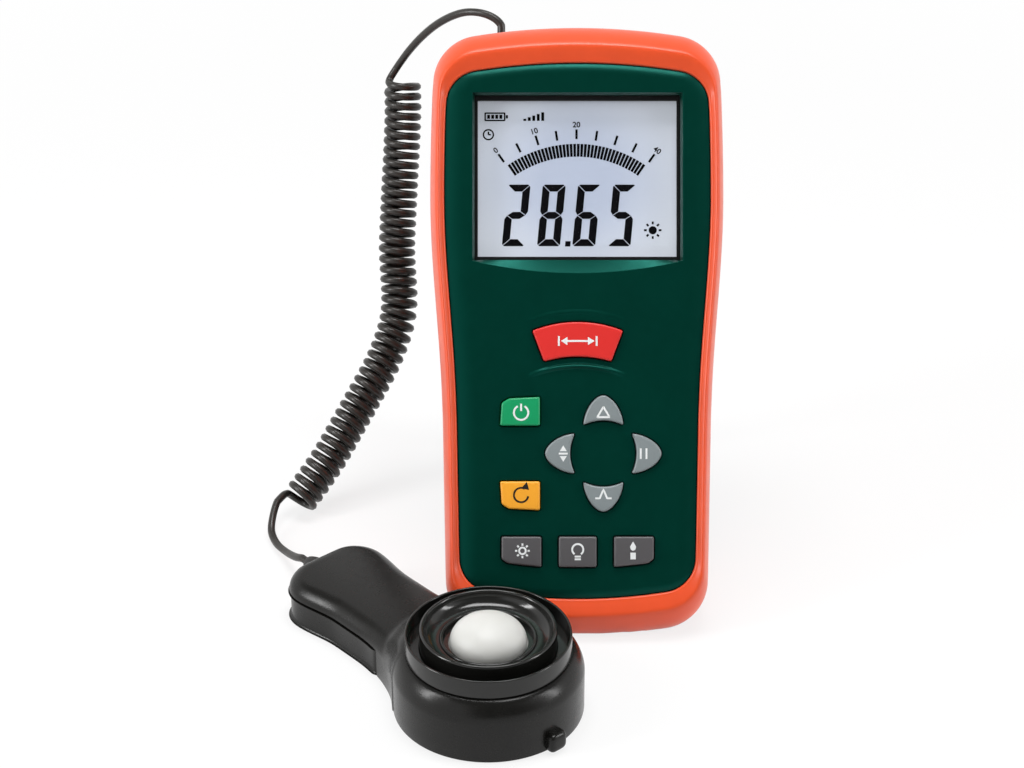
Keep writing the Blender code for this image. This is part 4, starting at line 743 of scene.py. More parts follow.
def boot_rubber(looks):
    """Matte moulded rubber with a fine pore and a soft, pale sheen."""
    made = Finish("boot_rubber").mottled(looks.boot, 90, 0.95, 1.03).grained(2600, 0.00006, 0.30)
    made.set(Sheen_Weight=0.12, Sheen_Roughness=0.4, Sheen_Tint=(1.0, 0.75, 0.66, 1), Specular_IOR_Level=0.42)
    return made.worn(400, 0.30, 0.38).material


def case_green(looks):
    """Spark-eroded dark green plastic whose gloss is tinged by its own colour."""
    made = Finish("case_green").mottled(looks.face, 120, 0.94, 1.06).grained(3400, 0.00005, 0.25)
    made.set(Specular_IOR_Level=0.45, Specular_Tint=(0.06, 0.85, 0.68, 1))
    return made.worn(500, 0.30, 0.40).material


def key_plastic(name, base):
    """Silk key plastic with a very fine grain."""
    made = Finish(name).mottled(base, 260, 0.96, 1.03).grained(4200, 0.00003, 0.25)
    return made.set(Specular_IOR_Level=0.4).worn(600, 0.34, 0.44).material


def printed(name, base):
    """Screen print: even ink with a slightly uneven film."""
    made = Finish(name).mottled(base, 1500, 0.94, 1.0).grained(5200, 0.00002, 0.2)
    return made.set(Specular_IOR_Level=0.25).worn(900, 0.5, 0.6).material


def clear_window():
    """Clear acrylic: see-through, with only its gloss to be seen."""
    made = Finish("clear_window").mottled((0.010, 0.011, 0.012), 300, 0.9, 1.1)
    made.set(Alpha=0.03, Specular_IOR_Level=0.4)
    return made.worn(800, 0.03, 0.06).material


def display_film(looks):
    """Pale film of the liquid crystal panel: bluer in its middle, with painted light that makes it paler to its
    edges, and a faint glow of its own colour, as from a backlight, that also lifts the shade of the window's
    recess on it.
    """
    made = Finish("display_film")
    middle = leaned([0, LCD_FRONT, (WINDOW_LOW + WINDOW_HIGH) / 2])
    reach = np.array([0.034, 0.030, 0.030])
    near = made.nodes.new("ShaderNodeMapping")
    near.inputs["Location"].default_value = tuple(-middle / reach)
    near.inputs["Scale"].default_value = tuple(1 / reach)
    made.links.new(made.place, near.inputs["Vector"])
    # Painted light: a spherical gradient about the film's middle that blends the film from its own colour in
    # the middle to a paler tone at its edges.
    painted_edge_light_mask = made.nodes.new("ShaderNodeTexGradient")
    painted_edge_light_mask.gradient_type = "SPHERICAL"
    made.links.new(near.outputs["Vector"], painted_edge_light_mask.inputs["Vector"])
    ramp = made.nodes.new("ShaderNodeValToRGB")
    ramp.color_ramp.interpolation = "EASE"
    ramp.color_ramp.elements[0].color = (*looks.display_painted_edge_light, 1)
    ramp.color_ramp.elements[1].color = (*looks.display, 1)
    ramp.color_ramp.elements[1].position = 0.8
    made.links.new(painted_edge_light_mask.outputs["Fac"], ramp.inputs["Fac"])
    made.links.new(ramp.outputs["Color"], made.shader.inputs["Base Color"])
    # The film glows faintly in its own colour, as from a backlight. The glow is partly painted light: it evens
    # out the shade that the window's recess casts on the film.
    made.links.new(ramp.outputs["Color"], made.shader.inputs["Emission Color"])
    made.grained(6000, 0.00001, 0.15).set(Specular_IOR_Level=0.2, Emission_Strength=0.21)
    return made.worn(700, 0.30, 0.38).material


def display_ink():
    """Dark liquid crystal: near-black, without gloss of its own."""
    made = Finish("display_ink").mottled((0.002, 0.002, 0.003), 900, 0.85, 1.2).grained(5000, 0.00001, 0.1)
    return made.set(Specular_IOR_Level=0.05).worn(700, 0.6, 0.7).material


def satin_black(name, base, low=0.30, high=0.40, gloss=0.35):
    """Satin near-black plastic with a fine moulded grain."""
    made = Finish(name).mottled(base, 150, 0.88, 1.12).grained(3000, 0.00005, 0.22)
    return made.set(Specular_IOR_Level=gloss).worn(420, low, high).material


def gloss_black(name, base):
    """Polished black plastic with faint swirl marks in its gloss."""
    made = Finish(name).mottled(base, 200, 0.9, 1.1).grained(1500, 0.00001, 0.2)
    return made.set(Specular_IOR_Level=0.45).worn(900, 0.12, 0.20).material


def diffuser_white(base):
    """Milky opal plastic that lets light in under its skin."""
    made = Finish("diffuser_white").mottled(base, 220, 0.985, 1.0).grained(2400, 0.00001, 0.1)
    made.set(Subsurface_Weight=0.35, Subsurface_Scale=0.004, Subsurface_Radius=(1.0, 0.98, 0.92))
    return made.worn(500, 0.42, 0.50).material


def cord_jacket(base):
    """Extruded jacket: soft satin with a faint drag along it."""
    made = Finish("cord_jacket").mottled(base, 500, 0.85, 1.15).grained(2500, 0.00004, 0.3)
    return made.set(Specular_IOR_Level=0.4).worn(700, 0.30, 0.40).material


def screw_steel():
    """Turned steel with fine marks."""
    made = Finish("screw_steel", 0.3, 1.0).mottled((0.52, 0.52, 0.53), 900, 0.85, 1.1)
    return made.grained(6000, 0.00002, 0.3, stretch=(1, 1, 0.15)).worn(1500, 0.22, 0.4).material


def board_green():
    """Solder-resist green with a woven glass shadow."""
    made = Finish("board_green").mottled((0.015, 0.12, 0.045), 1800, 0.75, 1.2).grained(1500, 0.00004, 0.3)
    return made.worn(600, 0.3, 0.45).material


def looks_of(context):
    return context.scene.meter_looks, context.scene.sensor_looks, context.scene.stage_looks


# Pieces of the meter


def boot_layers():
    """Rows of the boot's section: a depth, a side inset, an end inset and a lowest height over the bench.

    From the face outwards: a round lip edge, a cubic band over the crest, a wall that spreads and straightens
    with depth, the rounded back, the back lip, then the inside back to the start.
    """
    edge = LIP_EDGE
    rows = [(FRONT + LIP_THICKNESS, LIP_SIDE, LIP_END, 0)]
    for cos, sin in quarter_turn(7):
        inset = edge * (1 - cos)
        rows.append((FRONT + LIP_SINK + edge * (1 - sin), LIP_SIDE - inset, LIP_END - inset, 0))
    depth, side, end = wall_curve()
    lip = LIP_SINK, LIP_SIDE - edge, LIP_END - edge
    corner = np.array([lip, (CREST_DEPTH, *CREST), (depth[0], side[0], end[0])])
    share = np.linspace(0, 1, 19)[1:-1, None]
    band = (1 - share) ** 3 * corner[0] + 3 * share * (1 - share) * corner[1] + share**3 * corner[2]
    rows += [(FRONT + d, s, e, 0) for d, s, e in band]
    rows += [(FRONT + d, s, e, 0) for d, s, e in zip(depth, side, end)]
    down, inset = quarter(14)
    depth, side, end = BACK_ROUND
    start, stop = FRONT + WALL_DEPTH, BACK - depth
    rows += [(start + (stop - start) * share, 0, 0, 0) for share in np.linspace(0, 1, 12)[1:-1]]
    rows += [(BACK - depth * d, side * i, end * i, 0) for d, i in zip(down[::-1], inset[::-1])]
    back_lip = BACK_LIP_SIDE, BACK_LIP_END
    for cos, sin in quarter_turn(7):
        across = [b - edge * (1 - sin) for b in back_lip]
        rows.append((BACK - edge * (1 - cos), *across, BACK_LIP_LOW))
    rows.append((BACK - BACK_LIP_THICKNESS, *back_lip, BACK_LIP_LOW))
    rows.append((BACK - BACK_LIP_THICKNESS, BOOT_SIDE_WALL, BOOT_END_WALL, BOOT_SOLE_WALL))
    rows.append((FRONT + LIP_THICKNESS, BOOT_SIDE_WALL, BOOT_END_WALL, BOOT_SOLE_WALL))
    return rows


def wall_curve(steps=16):
    """Depths, side insets and end insets of the boot's wall: a power curve from crest to full width."""
    share = np.linspace(0, 1, steps)
    left = (1 - share) ** WALL_POWER
    return CREST_SOFT + (WALL_DEPTH - CREST_SOFT) * share, WALL_SIDE * left, WALL_END * left


class LIGHTMETER_OT_boot(bpy.types.Operator):
    """Rubber boot: the meter's outline carried round a closed section of depths and insets"""

    bl_idname = "light_meter.boot"
    bl_label = "Rubber boot"

    def execute(self, context):
        shape = Shape()
        shape.grid(meter_rows(boot_layers()), wrap_rows=True)
        boot = shape.piece("boot", boot_rubber(context.scene.meter_looks), "meter", "boot_rubber")
        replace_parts(boot, "holster")
        return {"FINISHED"}


def window_loops(looks, count=60):
    """The window's edge at the foot of its bevel, and on the face, where a curved sill lies below it."""
    half, low, high = WINDOW_HALF, WINDOW_LOW, WINDOW_HIGH
    along = np.linspace(-1, 1, count)
    ones = np.ones(count)
    bevel = looks.window_bevel
    inner = np.concatenate([
        np.stack([half * along, low * ones], axis=1),
        np.stack([half * ones, low + (high - low) * (along + 1) / 2], axis=1)[1:],
        np.stack([-half * along, high * ones], axis=1)[1:],
        np.stack([-half * ones, high + (low - high) * (along + 1) / 2], axis=1)[1:-1],
    ])
    middle = np.array([0, (low + high) / 2])
    reach = np.array([(half + bevel) / half, ((high - low) / 2 + bevel) / ((high - low) / 2)])
    outer = middle + (inner - middle) * reach
    sill = np.arange(count)
    across = outer[sill, 0] / (half + bevel)
    outer[sill, 1] = low - looks.sill_drop * (1 - across**2) - SILL_MARGIN
    return inner, outer


def edge_rows(edge, radius, depth, steps=6):
    """An opening's rounded edge: a flat ring, a quarter round into the opening, then its wall."""
    rows = [at_depth(grown(edge, 1.3 * radius), FACE)]
    for cos, sin in quarter_turn(steps + 1):
        rows.append(at_depth(grown(edge, radius * (1 - sin)), FACE + radius * (1 - cos)))
    rows.append(at_depth(edge, depth))
    return np.stack(rows)


class LIGHTMETER_OT_face(bpy.types.Operator):
    """Front case: rows of outlines with a parabolic margin, flat fills with openings, and their edges"""

    bl_idname = "light_meter.face"
    bl_label = "Front case"

    def execute(self, context):
        looks = context.scene.meter_looks
        side, end = LIP_SIDE + GAP, LIP_END + GAP
        case = BOOT_SIDE_WALL + GAP, BOOT_END_WALL + GAP
        cavity = case[0] + CASE_WALL, case[1] + CASE_WALL
        sole = BOOT_SOLE_WALL + GAP
        split = CASE_SPLIT - GAP / 2
        rows = [
            (FACE_INSIDE, *cavity, sole + CASE_WALL), (split, *cavity, sole + CASE_WALL),
            (split, *case, sole), (SHOULDER, *case, sole), (SHOULDER, side, end, sole),
        ]
        wide, wide_end, deep = looks.face_round, looks.face_round_end, looks.face_round_depth
        rows += [
            (FACE + deep * u * u, side + wide * (1 - u), end + wide_end * (1 - u), sole)
            for u in np.linspace(1, 0, 13)
        ]
        rows.append((FACE, side + wide + FACE_FLAT, end + wide_end + FACE_FLAT, sole))
        shape = Shape()
        inside, outside = shape.grid(meter_rows(rows))
        front_loops, back_loops = [outside], [inside]
        holes = [grown(edge, KEY_GAP) for edge in key_outlines().values()]
        openings = [edge_rows(hole, KEY_HOLE_EDGE, FACE_INSIDE) for hole in holes]
        inner, outer = window_loops(looks)
        lip = [(grown(outer, 0.0002), FACE), (grown(outer, 0.00008), FACE), (outer, FACE + 0.00004)]
        lip += [(inner, FACE + WINDOW_DEPTH), (inner, FACE_INSIDE)]
        openings.append(np.stack([at_depth(edge, depth) for edge, depth in lip]))
        for opening in openings:
            first, last = shape.grid(leaned(opening))
            front_loops.append(first)
            back_loops.append(last)
        shape.fills = [front_loops, back_loops]
        face = shape.piece("face", case_green(looks), "meter", "case_plastic", 28)
        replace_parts(face, "front_case")
        return {"FINISHED"}


def ridge(shape, path, width, rise):
    """Adds a low ridge along a flat path: a bell across it that fades out to its ends, just over the face."""
    along = np.linspace(0, 1, len(path))
    across = np.linspace(-1, 1, 15)
    ahead = np.gradient(path, axis=0)
    ahead /= np.linalg.norm(ahead, axis=1, keepdims=True)
    side = np.stack([-ahead[:, 1], ahead[:, 0]], axis=1)
    flat = path[:, None] + side[:, None] * across[None, :, None] * width / 2
    bell = (np.cos(across * math.pi) + 1) / 2
    fade = np.sin(along * math.pi) ** 0.6
    height = FACE + RIDGE_SINK - rise * fade[:, None] * bell
    top = at_depth(flat, height)
    under = at_depth(flat[:, ::-1], FACE + RIDGE_FOOT)
    shape.grid(leaned(np.concatenate([top, under], axis=1)))


class LIGHTMETER_OT_ridges(bpy.types.Operator):
    """Embossed arcs above and below the range key: bell-shaped ridges along parabolas"""

    bl_idname = "light_meter.ridges"
    bl_label = "Embossed arcs"

    def execute(self, context):
        shape = Shape()
        share = np.linspace(-1, 1, 61)
        for half, level, rise in ((0.0118, 0.0640, 0.00070), (0.0128, 0.0772, 0.00018)):
            path = np.stack([half * share, level + RIDGE_BULGE * (1 - share**2)], axis=1)
            ridge(shape, path, RIDGE_WIDTH, rise)
        shape.piece("range_ridges", bpy.data.materials["case_green"], "meter", "case_plastic", 60)
        return {"FINISHED"}


def key_top(edge, looks):
    """How deep a key's domed top lies at points of the face: a paraboloid about the key's middle."""
    middle = edge.mean(axis=0)
    reach = np.linalg.norm(edge - middle, axis=1).max()
    crest = FACE - BUTTON_PROUD

    def depth(flat):
        away = np.linalg.norm(np.asarray(flat) - middle, axis=-1) / reach
        return crest + looks.key_dome * away**2

    return depth


class LIGHTMETER_OT_keys(bpy.types.Operator):
    """Ten keys: outlines drawn in to their middle over a paraboloid, with a round edge and a flange"""

    bl_idname = "light_meter.keys"
    bl_label = "Keys"

    def execute(self, context):
        looks = context.scene.meter_looks
        tones = {
            "range_button": ("red_key", looks.red), "power_button": ("green_key", looks.green),
            "reset_button": ("amber_key", looks.amber),
        }
        for name, edge in key_outlines().items():
            light = name in ("relative_button", "max_min_button", "peak_button", "hold_button")
            plain = ("grey_key", looks.light_grey) if light else ("dark_key", looks.dark_grey)
            slot, tone = tones.get(name, plain)
            material = bpy.data.materials.get(slot) or key_plastic(slot, tone)
            middle, depth, radius = edge.mean(axis=0), key_top(edge, looks), looks.key_edge
            flange = grown(edge, KEY_FLANGE)
            rows = [at_depth(flange * 0 + middle, FLANGE_BACK), at_depth(flange, FLANGE_BACK)]
            rows += [at_depth(flange, FLANGE_FRONT), at_depth(edge, FLANGE_FRONT)]
            rows.append(at_depth(edge, depth(edge) + radius + 0.0004))
            for cos, sin in quarter_turn(8):
                flat = grown(edge, -radius * (1 - cos))
                rows.append(at_depth(flat, depth(flat) + radius * (1 - sin)))
            rim = grown(edge, -radius)
            for share in (0.93, 0.8, 0.6, 0.4, 0.2, 0.0):
                flat = middle + (rim - middle) * share
                rows.append(at_depth(flat, depth(flat)))
            shape = Shape()
            shape.grid(leaned(np.stack(rows)))
            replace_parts(shape.piece(name + "_cap", material, name, slot, 50), name)
        return {"FINISHED"}


def arrow_head(tip, direction, size):
    """A triangle with its tip at a point, looking along a direction."""
    ahead = np.array(direction, float)
    side = np.array([-ahead[1], ahead[0]])
    tip = np.array(tip, float)
    return np.array([tip, tip - ahead * size + side * size * 0.62, tip - ahead * size - side * size * 0.62])


def line(start, end, steps=5):
    share = np.linspace(0, 1, steps)[:, None]
    return np.array(start) + (np.array(end) - np.array(start)) * share


def sun(middle, radius, rays=8):
    """A ring with rays round it, as strokes."""
    turn = np.linspace(0, 360, rays, endpoint=False)
    found = [(arc(middle, radius, 0, 345, 24), True)]
    for angle in turn:
        start = arc(middle, radius * 1.55, angle, angle, 1)[0]
        end = arc(middle, radius * 2.25, angle, angle, 1)[0]
        found.append((line(start, end), False))
    return found


def icon_parts(name, middle):
    """Strokes and filled outlines of a key's generic icon, about the key's middle."""
    x, z = middle
    mm = 0.001

    def at(dx, dz):
        return x + dx * mm, z + dz * mm

    if name == "range_button":
        strokes = [(line(at(-2.8, 0), at(2.8, 0)), False)]
        strokes += [(line(at(s * 4.6, -1.2), at(s * 4.6, 1.2)), False) for s in (-1, 1)]
        return strokes, [arrow_head(at(s * 4.1, 0), (s, 0), 1.6 * mm) for s in (-1, 1)]
    if name == "power_button":
        strokes = [(arc(at(0, -0.1), 1.75 * mm, 118, 422, 40), False), (line(at(0, 0.3), at(0, 2.1)), False)]
        return strokes, []
    if name == "reset_button":
        strokes = [(arc(at(0, 0), 1.75 * mm, 60, 350, 40), False)]
        return strokes, [arrow_head(at(1.95, 1.25), (0.75, -0.66), 1.7 * mm)]
    if name == "relative_button":
        return [(evenly(np.array([at(-1.5, -1.1), at(1.5, -1.1), at(0, 1.4)]), 60), True)], []
    if name == "max_min_button":
        shapes = [arrow_head(at(0.2, 2.0), (0, 1), 1.4 * mm), arrow_head(at(0.2, -2.0), (0, -1), 1.4 * mm)]
        return [(line(at(-0.9, 0), at(1.3, 0)), False)], shapes
    if name == "peak_button":
        path = np.concatenate([
            line(at(-2.0, -0.9), at(-0.9, -0.9)), line(at(-0.9, -0.9), at(0, 1.3)),
            line(at(0, 1.3), at(0.9, -0.9)), line(at(0.9, -0.9), at(2.0, -0.9)),
        ])
        return [(path[np.r_[0:5, 6:10, 11:15, 16:20]], False)], []
    if name == "hold_button":
        return [(line(at(s, -1.3), at(s, 1.3)), False) for s in (-0.9, 0.5)], []
    if name == "backlight_button":
        return sun(at(0, 0), 0.8 * mm), []
    if name == "lux_button":
        strokes = [(arc(at(0, 0.6), 1.35 * mm, -55, 235, 36), False)]
        strokes += [(line(at(-0.75, dz), at(0.75, dz)), False) for dz in (-1.1, -1.75)]
        return strokes, []
    flame = np.array([
        at(0, 2.3), at(-0.75, 1.0), at(-0.55, 0.25), at(0, 0.0), at(0.55, 0.25), at(0.75, 1.0),
    ])
    stick = np.array([at(-0.65, -2.1), at(0.65, -2.1), at(0.65, -0.45), at(-0.65, -0.45)])
    return [], [eased(flame, 0.00012, 48), stick]


class LIGHTMETER_OT_icons(bpy.types.Operator):
    """Printed icons on the keys: strokes and outlines laid on each key's domed top"""

    bl_idname = "light_meter.icons"
    bl_label = "Key icons"

    def execute(self, context):
        looks = context.scene.meter_looks
        white = printed("print_white", (0.80, 0.82, 0.82))
        dark = printed("print_dark", (0.012, 0.011, 0.010))
        for name, edge in key_outlines().items():
            depth = key_top(edge, looks)

            def place(flat, over):
                return leaned(at_depth(flat, depth(flat) - over))

            shape = Shape()
            strokes, outlines = icon_parts(name, edge.mean(axis=0))
            for path, closed in strokes:
                shape.stroke(path, PRINT_WIDTH, place, *PRINT_LAYER, closed)
            for outline in outlines:
                shape.block(outline, place, *PRINT_LAYER)
            ink, slot = (dark, "dark_key") if name == "reset_button" else (white, "white_panel")
            shape.piece(name + "_icon", ink, name, slot, 40)
        return {"FINISHED"}


SEGMENTS = {"2": "abged", "8": "abcdefg", "6": "acdefg", "5": "acdfg", "0": "abcdef", "1": "bc", "3": "abcdg",
            "4": "bcfg", "7": "abc", "9": "abcdfg"}


def segment_outlines(width, height, upright, level):
    """A digit's seven segments: outlines with mitred ends and clipped corners, from its lower left corner."""
    half, u, v, clip, tip = height / 2, upright, level, 0.3 * level, 0.3 * upright
    top = np.array([
        (u, height - v), (width - u, height - v), (width - clip / 2, height - clip / 2),
        (width - clip, height), (clip, height), (clip / 2, height - clip / 2),
    ])
    right = np.array([
        (width - tip, half), (width, half + v / 2), (width, height - clip),
        (width - clip / 2, height - clip / 2), (width - u, height - v), (width - u, half + v / 2),
    ])
    bar = np.array([
        (tip, half), (u, half - v / 2), (width - u, half - v / 2), (width - tip, half),
        (width - u, half + v / 2), (u, half + v / 2),
    ])
    over, across = np.array([0, height]), np.array([width, 0])
    low_right = right[::-1] * (1, -1) + over
    return {
        "a": top, "b": right, "c": low_right, "d": top[::-1] * (1, -1) + over,
        "e": low_right[::-1] * (-1, 1) + across, "f": right[::-1] * (-1, 1) + across, "g": bar,
    }


def drawn_in(corners, by):
    """A convex polygon with each side moved inwards, corner by corner."""
    here = np.asarray(corners, float)
    ahead = np.roll(here, -1, axis=0) - here
    ahead /= np.linalg.norm(ahead, axis=1, keepdims=True)
    normal = np.stack([ahead[:, 1], -ahead[:, 0]], axis=1)
    both = normal + np.roll(normal, 1, axis=0)
    both /= (both * normal).sum(axis=1, keepdims=True)
    return here - by * both


def display_place(flat, over):
    return leaned(at_depth(flat, LCD_FRONT - over))


class LIGHTMETER_OT_display(bpy.types.Operator):
    """What the display shows: slanted seven-segment digits, an arc of bars, ticks and numbers, small icons"""

    bl_idname = "light_meter.display"
    bl_label = "Display"

    def execute(self, context):
        looks = context.scene.meter_looks
        display_ink()
        shape = Shape()
        height = looks.digit_height
        pitch, width = DIGIT_PITCH * height, DIGIT_WIDTH * height
        outlines = segment_outlines(width, height, DIGIT_UPRIGHT * height, DIGIT_LEVEL * height)
        for k, digit in enumerate(looks.reading):
            for key in SEGMENTS[digit]:
                flat = drawn_in(outlines[key], DIGIT_PARTING)
                flat = flat + (DIGIT_LEFT + k * pitch, DIGIT_FOOT)
                flat[:, 0] += DIGIT_SLANT * (flat[:, 1] - DIGIT_FOOT)
                shape.block(flat, display_place, *INK_LAYER)
        dot = np.array([(0, 0), (1, 0), (1.09, 1), (0.09, 1)]) * POINT_SIZE
        shape.block(dot + (DIGIT_LEFT + 2 * pitch - POINT_LEAD, DIGIT_FOOT), display_place, *INK_LAYER)
        ink_piece(shape, "display_digits")

        shape = Shape()
        middle = np.array(SCALE_MIDDLE)
        inner, outer = SCALE_RADII
        turn = np.radians(BAR_PITCH * (np.arange(SCALE_BARS) - (SCALE_BARS - 1) / 2))
        half = math.radians(BAR_HALF)
        for angle in turn:
            angles = np.array([angle - half, angle + half, angle + half, angle - half])
            radii = np.array([inner, inner, outer, outer])
            flat = middle + np.stack([radii * np.sin(angles), radii * np.cos(angles)], axis=1)
            shape.block(flat, display_place, *INK_LAYER)
        start, end = TICK_RADII
        for angle in np.radians(np.linspace(-TICK_TURN, TICK_TURN, TICKS)):
            ahead = np.array([math.sin(angle), math.cos(angle)])
            tick = line(middle + start * ahead, middle + end * ahead)
            shape.stroke(tick, TICK_WIDTH, display_place, *INK_LAYER)
        ink_piece(shape, "display_scale")

        shape = Shape()
        for text, angle in NUMBER_TURNS.items():
            write_number(shape, text, middle, NUMBER_RADIUS, math.radians(angle))
        ink_piece(shape, "display_numbers")

        shape = Shape()
        display_icons(shape)
        ink_piece(shape, "display_icons")
        return {"FINISHED"}


def ink_piece(shape, name):
    shape.piece(name, bpy.data.materials["display_ink"], "meter", "lcd_glass", 40)


def display_icons(shape):
    """Adds the display's generic icons: a clock, a battery, rising bars and a filled sun."""
    clock = np.array(CLOCK_PLACE)
    strokes = [(arc(clock, CLOCK_RADIUS, 0, 350, 36), True)]
    strokes += [(line(clock, clock + hand), False) for hand in ((0, 0.00075), (0.0006, 0))]
    strokes.append((evenly(box_corners(BATTERY_LOW, BATTERY_HIGH), 96), True))
    for path, closed in strokes:
        shape.stroke(path, ICON_WIDTH, display_place, *INK_LAYER, closed)
    blocks = [(-0.0175, 0.1273, 0.0005, 0.0008)]
    blocks += [(x, 0.1272, 0.0007, 0.0010) for x in (-0.0221, -0.0211, -0.0201, -0.0191)]
    blocks += [(-0.0132 + 0.0011 * k, 0.1267, 0.0007, 0.0005 + 0.0004 * k) for k in range(5)]
    for x, z, wide, tall in blocks:
        shape.block(box_corners((x, z), (x + wide, z + tall)), display_place, *INK_LAYER)
    shape.block(arc(SUN_PLACE, SUN_RADIUS, 0, 350, 36), display_place, *INK_LAYER)
    for path, closed in sun(SUN_PLACE, SUN_RAY_RADIUS)[1:]:
        shape.stroke(path, SUN_RAY_WIDTH, display_place, *INK_LAYER, closed)


def write_number(shape, text, middle, radius, angle):
    """Adds a plain number, made a mesh from Blender's own letters, across a spoke of the scale."""
    curve = bpy.data.curves.new("number", "FONT")
    curve.body = text
    curve.size = NUMBER_SIZE
    curve.align_x = "CENTER"
    curve.align_y = "CENTER"
    curve.extrude = 0.00003
    curve.offset = 0.00004
    letters = bpy.data.objects.new("number", curve)
    bpy.context.scene.collection.objects.link(letters)
    mesh = bpy.data.meshes.new_from_object(letters.evaluated_get(bpy.context.evaluated_depsgraph_get()))
    spots = np.empty(3 * len(mesh.vertices))
    mesh.vertices.foreach_get("co", spots)
    spots = spots.reshape(-1, 3)
    cos, sin = math.cos(angle), math.sin(angle)
    across = middle[0] + radius * sin + spots[:, 0] * cos + spots[:, 1] * sin
    up = middle[1] + radius * cos - spots[:, 0] * sin + spots[:, 1] * cos
    points = np.stack([across, LCD_FRONT - 0.00001 - spots[:, 2], up], axis=1)
    shape.add(leaned(points), [list(face.vertices) for face in mesh.polygons])
    bpy.data.objects.remove(letters)
    bpy.data.meshes.remove(mesh)


def swung(points):
    """Stand frame to bench: a turn about the hinge until the foot meets the bench, then the meter's place."""
    rise = HINGE_HEIGHT * math.cos(LEAN) - HINGE_DEPTH * math.sin(LEAN) - SOLE_CUT
    foot = STAND_THICKNESS / 2
    angle = LEAN + math.acos((rise - foot) / (STAND_LENGTH - foot))
    x, y, z = np.moveaxis(np.asarray(points, float), -1, 0)
    cos, sin = math.cos(angle), math.sin(angle)
    return leaned(np.stack([x, HINGE_DEPTH + y * cos - z * sin, HINGE_HEIGHT + y * sin + z * cos], axis=-1))


class LIGHTMETER_OT_stand(bpy.types.Operator):
    """Tilt stand: a plate with a full round edge, with a sunken panel and ribs outside, and two hinge pins"""

    bl_idname = "light_meter.stand"
    bl_label = "Tilt stand"

    def execute(self, context):
        half, end = STAND_WIDTH / 2, STAND_THICKNESS / 2
        low, high = -STAND_LENGTH, end
        edge = evenly(box_corners((-half, low), (half, high)), 600)
        radius = np.where(edge[:, 1:] < (low + high) / 2, STAND_CORNER, end)
        spot = np.clip(edge, (-half, low) + radius, (half, high) - radius)
        away = edge - spot
        edge = spot + away * np.minimum(1, radius / np.linalg.norm(away, axis=1, keepdims=True))
        turn = np.linspace(-math.pi / 2, math.pi / 2, 15)
        middle = np.array([0, (low + high) / 2])
        rows = [at_depth(edge * 0 + middle, -end)]
        rows += [at_depth(grown(edge, end * (math.cos(t) - 1)), end * math.sin(t)) for t in turn]
        least = np.array((-half + STAND_RIM, low + 3 * STAND_RIM))
        most = np.array((half - STAND_RIM, high - 2 * STAND_RIM))
        rows.append(at_depth(np.clip(edge, least, most), end))
        rows.append(at_depth(np.clip(edge, least + STAND_DRAFT, most - STAND_DRAFT), end - STAND_PANEL))
        rows.append(at_depth(edge * 0 + (least + most) / 2, end - STAND_PANEL))
        shape = Shape()
        shape.grid(swung(np.stack(rows)))

        def over_plate(flat, over):
            return swung(at_depth(flat, end + over))

        reach = half - STAND_RIB_MARGIN * STAND_RIM
        for level in low + STAND_RIM * np.array(STAND_RIB_LEVELS):
            path = line((-reach, level), (reach, level), 9)
            shape.stroke(path, STAND_RIB_WIDTH, over_plate, -STAND_RIB_RISE, STAND_RIB_RISE)
        radius, root, tip = STAND_PIN_RADIUS, half - end, half + STAND_PIN_LENGTH
        bevel = STAND_PIN_EDGE
        profile = [(0, root), (radius, root), (radius, tip - bevel), (radius - bevel, tip), (0, tip)]
        for side in (-1, 1):
            shape.lathe(profile, lambda points: swung(points[..., [2, 0, 1]] * (side, 1, 1)), 32)
        black = satin_black("stand_black", (0.014, 0.014, 0.013), 0.38, 0.5)
        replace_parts(shape.piece("stand", black, "tilt_stand", "black_plastic", 40), "tilt_stand")
        return {"FINISHED"}


# Pieces of the sensor


def handle_half(s):
    """Half the handle's width along it: a fillet at the puck, a waist, then a flared tail."""
    fillet = np.maximum(1 - (s - HANDLE_START) / (HANDLE_FILLET_END - HANDLE_START), 0) ** 2
    flare = smooth_step(s, HANDLE_REACH - HANDLE_FLARE_REACH, HANDLE_REACH - HANDLE_TAIL_CORNER)
    return HANDLE_WAIST + HANDLE_FILLET * fillet + HANDLE_FLARE * flare


def tail_half():
    """Half of the tail's plan: a quarter-round corner and the straight end to the middle."""
    corner, start = HANDLE_TAIL_CORNER, HANDLE_REACH - HANDLE_TAIL_CORNER
    half = float(handle_half(start))
    turn = np.linspace(0, math.pi / 2, 22)[1:]
    round_part = np.stack([start + corner * np.sin(turn), half - corner * (1 - np.cos(turn))], axis=1)
    t = np.linspace(half - corner, 0, 8)[1:]
    return np.concatenate([round_part, np.stack([np.full(len(t), HANDLE_REACH), t], axis=1)])


def sensor_plan():
    """Half the sensor's plan from the puck's front to the tail's middle, and the lower edge at each point.

    A circle to the neck, then the larger of circle and handle eased together, then the handle and its tail.
    The lower edge is the bench under the puck and the seam along the handle.
    """
    neck = NECK_START
    stop = math.acos(neck / PUCK_RADIUS)
    turn = np.linspace(math.pi, stop, 64)
    circle = np.stack([PUCK_RADIUS * np.cos(turn), PUCK_RADIUS * np.sin(turn)], axis=1)
    near = np.linspace(neck, SEAM_START, 30)[1:]
    far = np.linspace(SEAM_START + 0.00002, HANDLE_REACH - HANDLE_TAIL_CORNER, 44)
    s = np.concatenate([near, far])
    chord = np.sqrt(np.maximum(PUCK_RADIUS**2 - s**2, 0))
    apart = chord - handle_half(s)
    side = handle_half(s) + (apart + np.sqrt(apart**2 + NECK_EASE**2)) / 2
    shift = side[0] - circle[-1, 1]
    side -= shift * np.exp(-(s - neck) / NECK_FADE)
    flanks = np.stack([s, side], axis=1)
    plan = np.concatenate([circle, flanks, tail_half()])
    low = np.where(plan[:, 0] > SEAM_START + 0.00001, SEAM_HEIGHT + GAP, 0.0)
    return plan, low


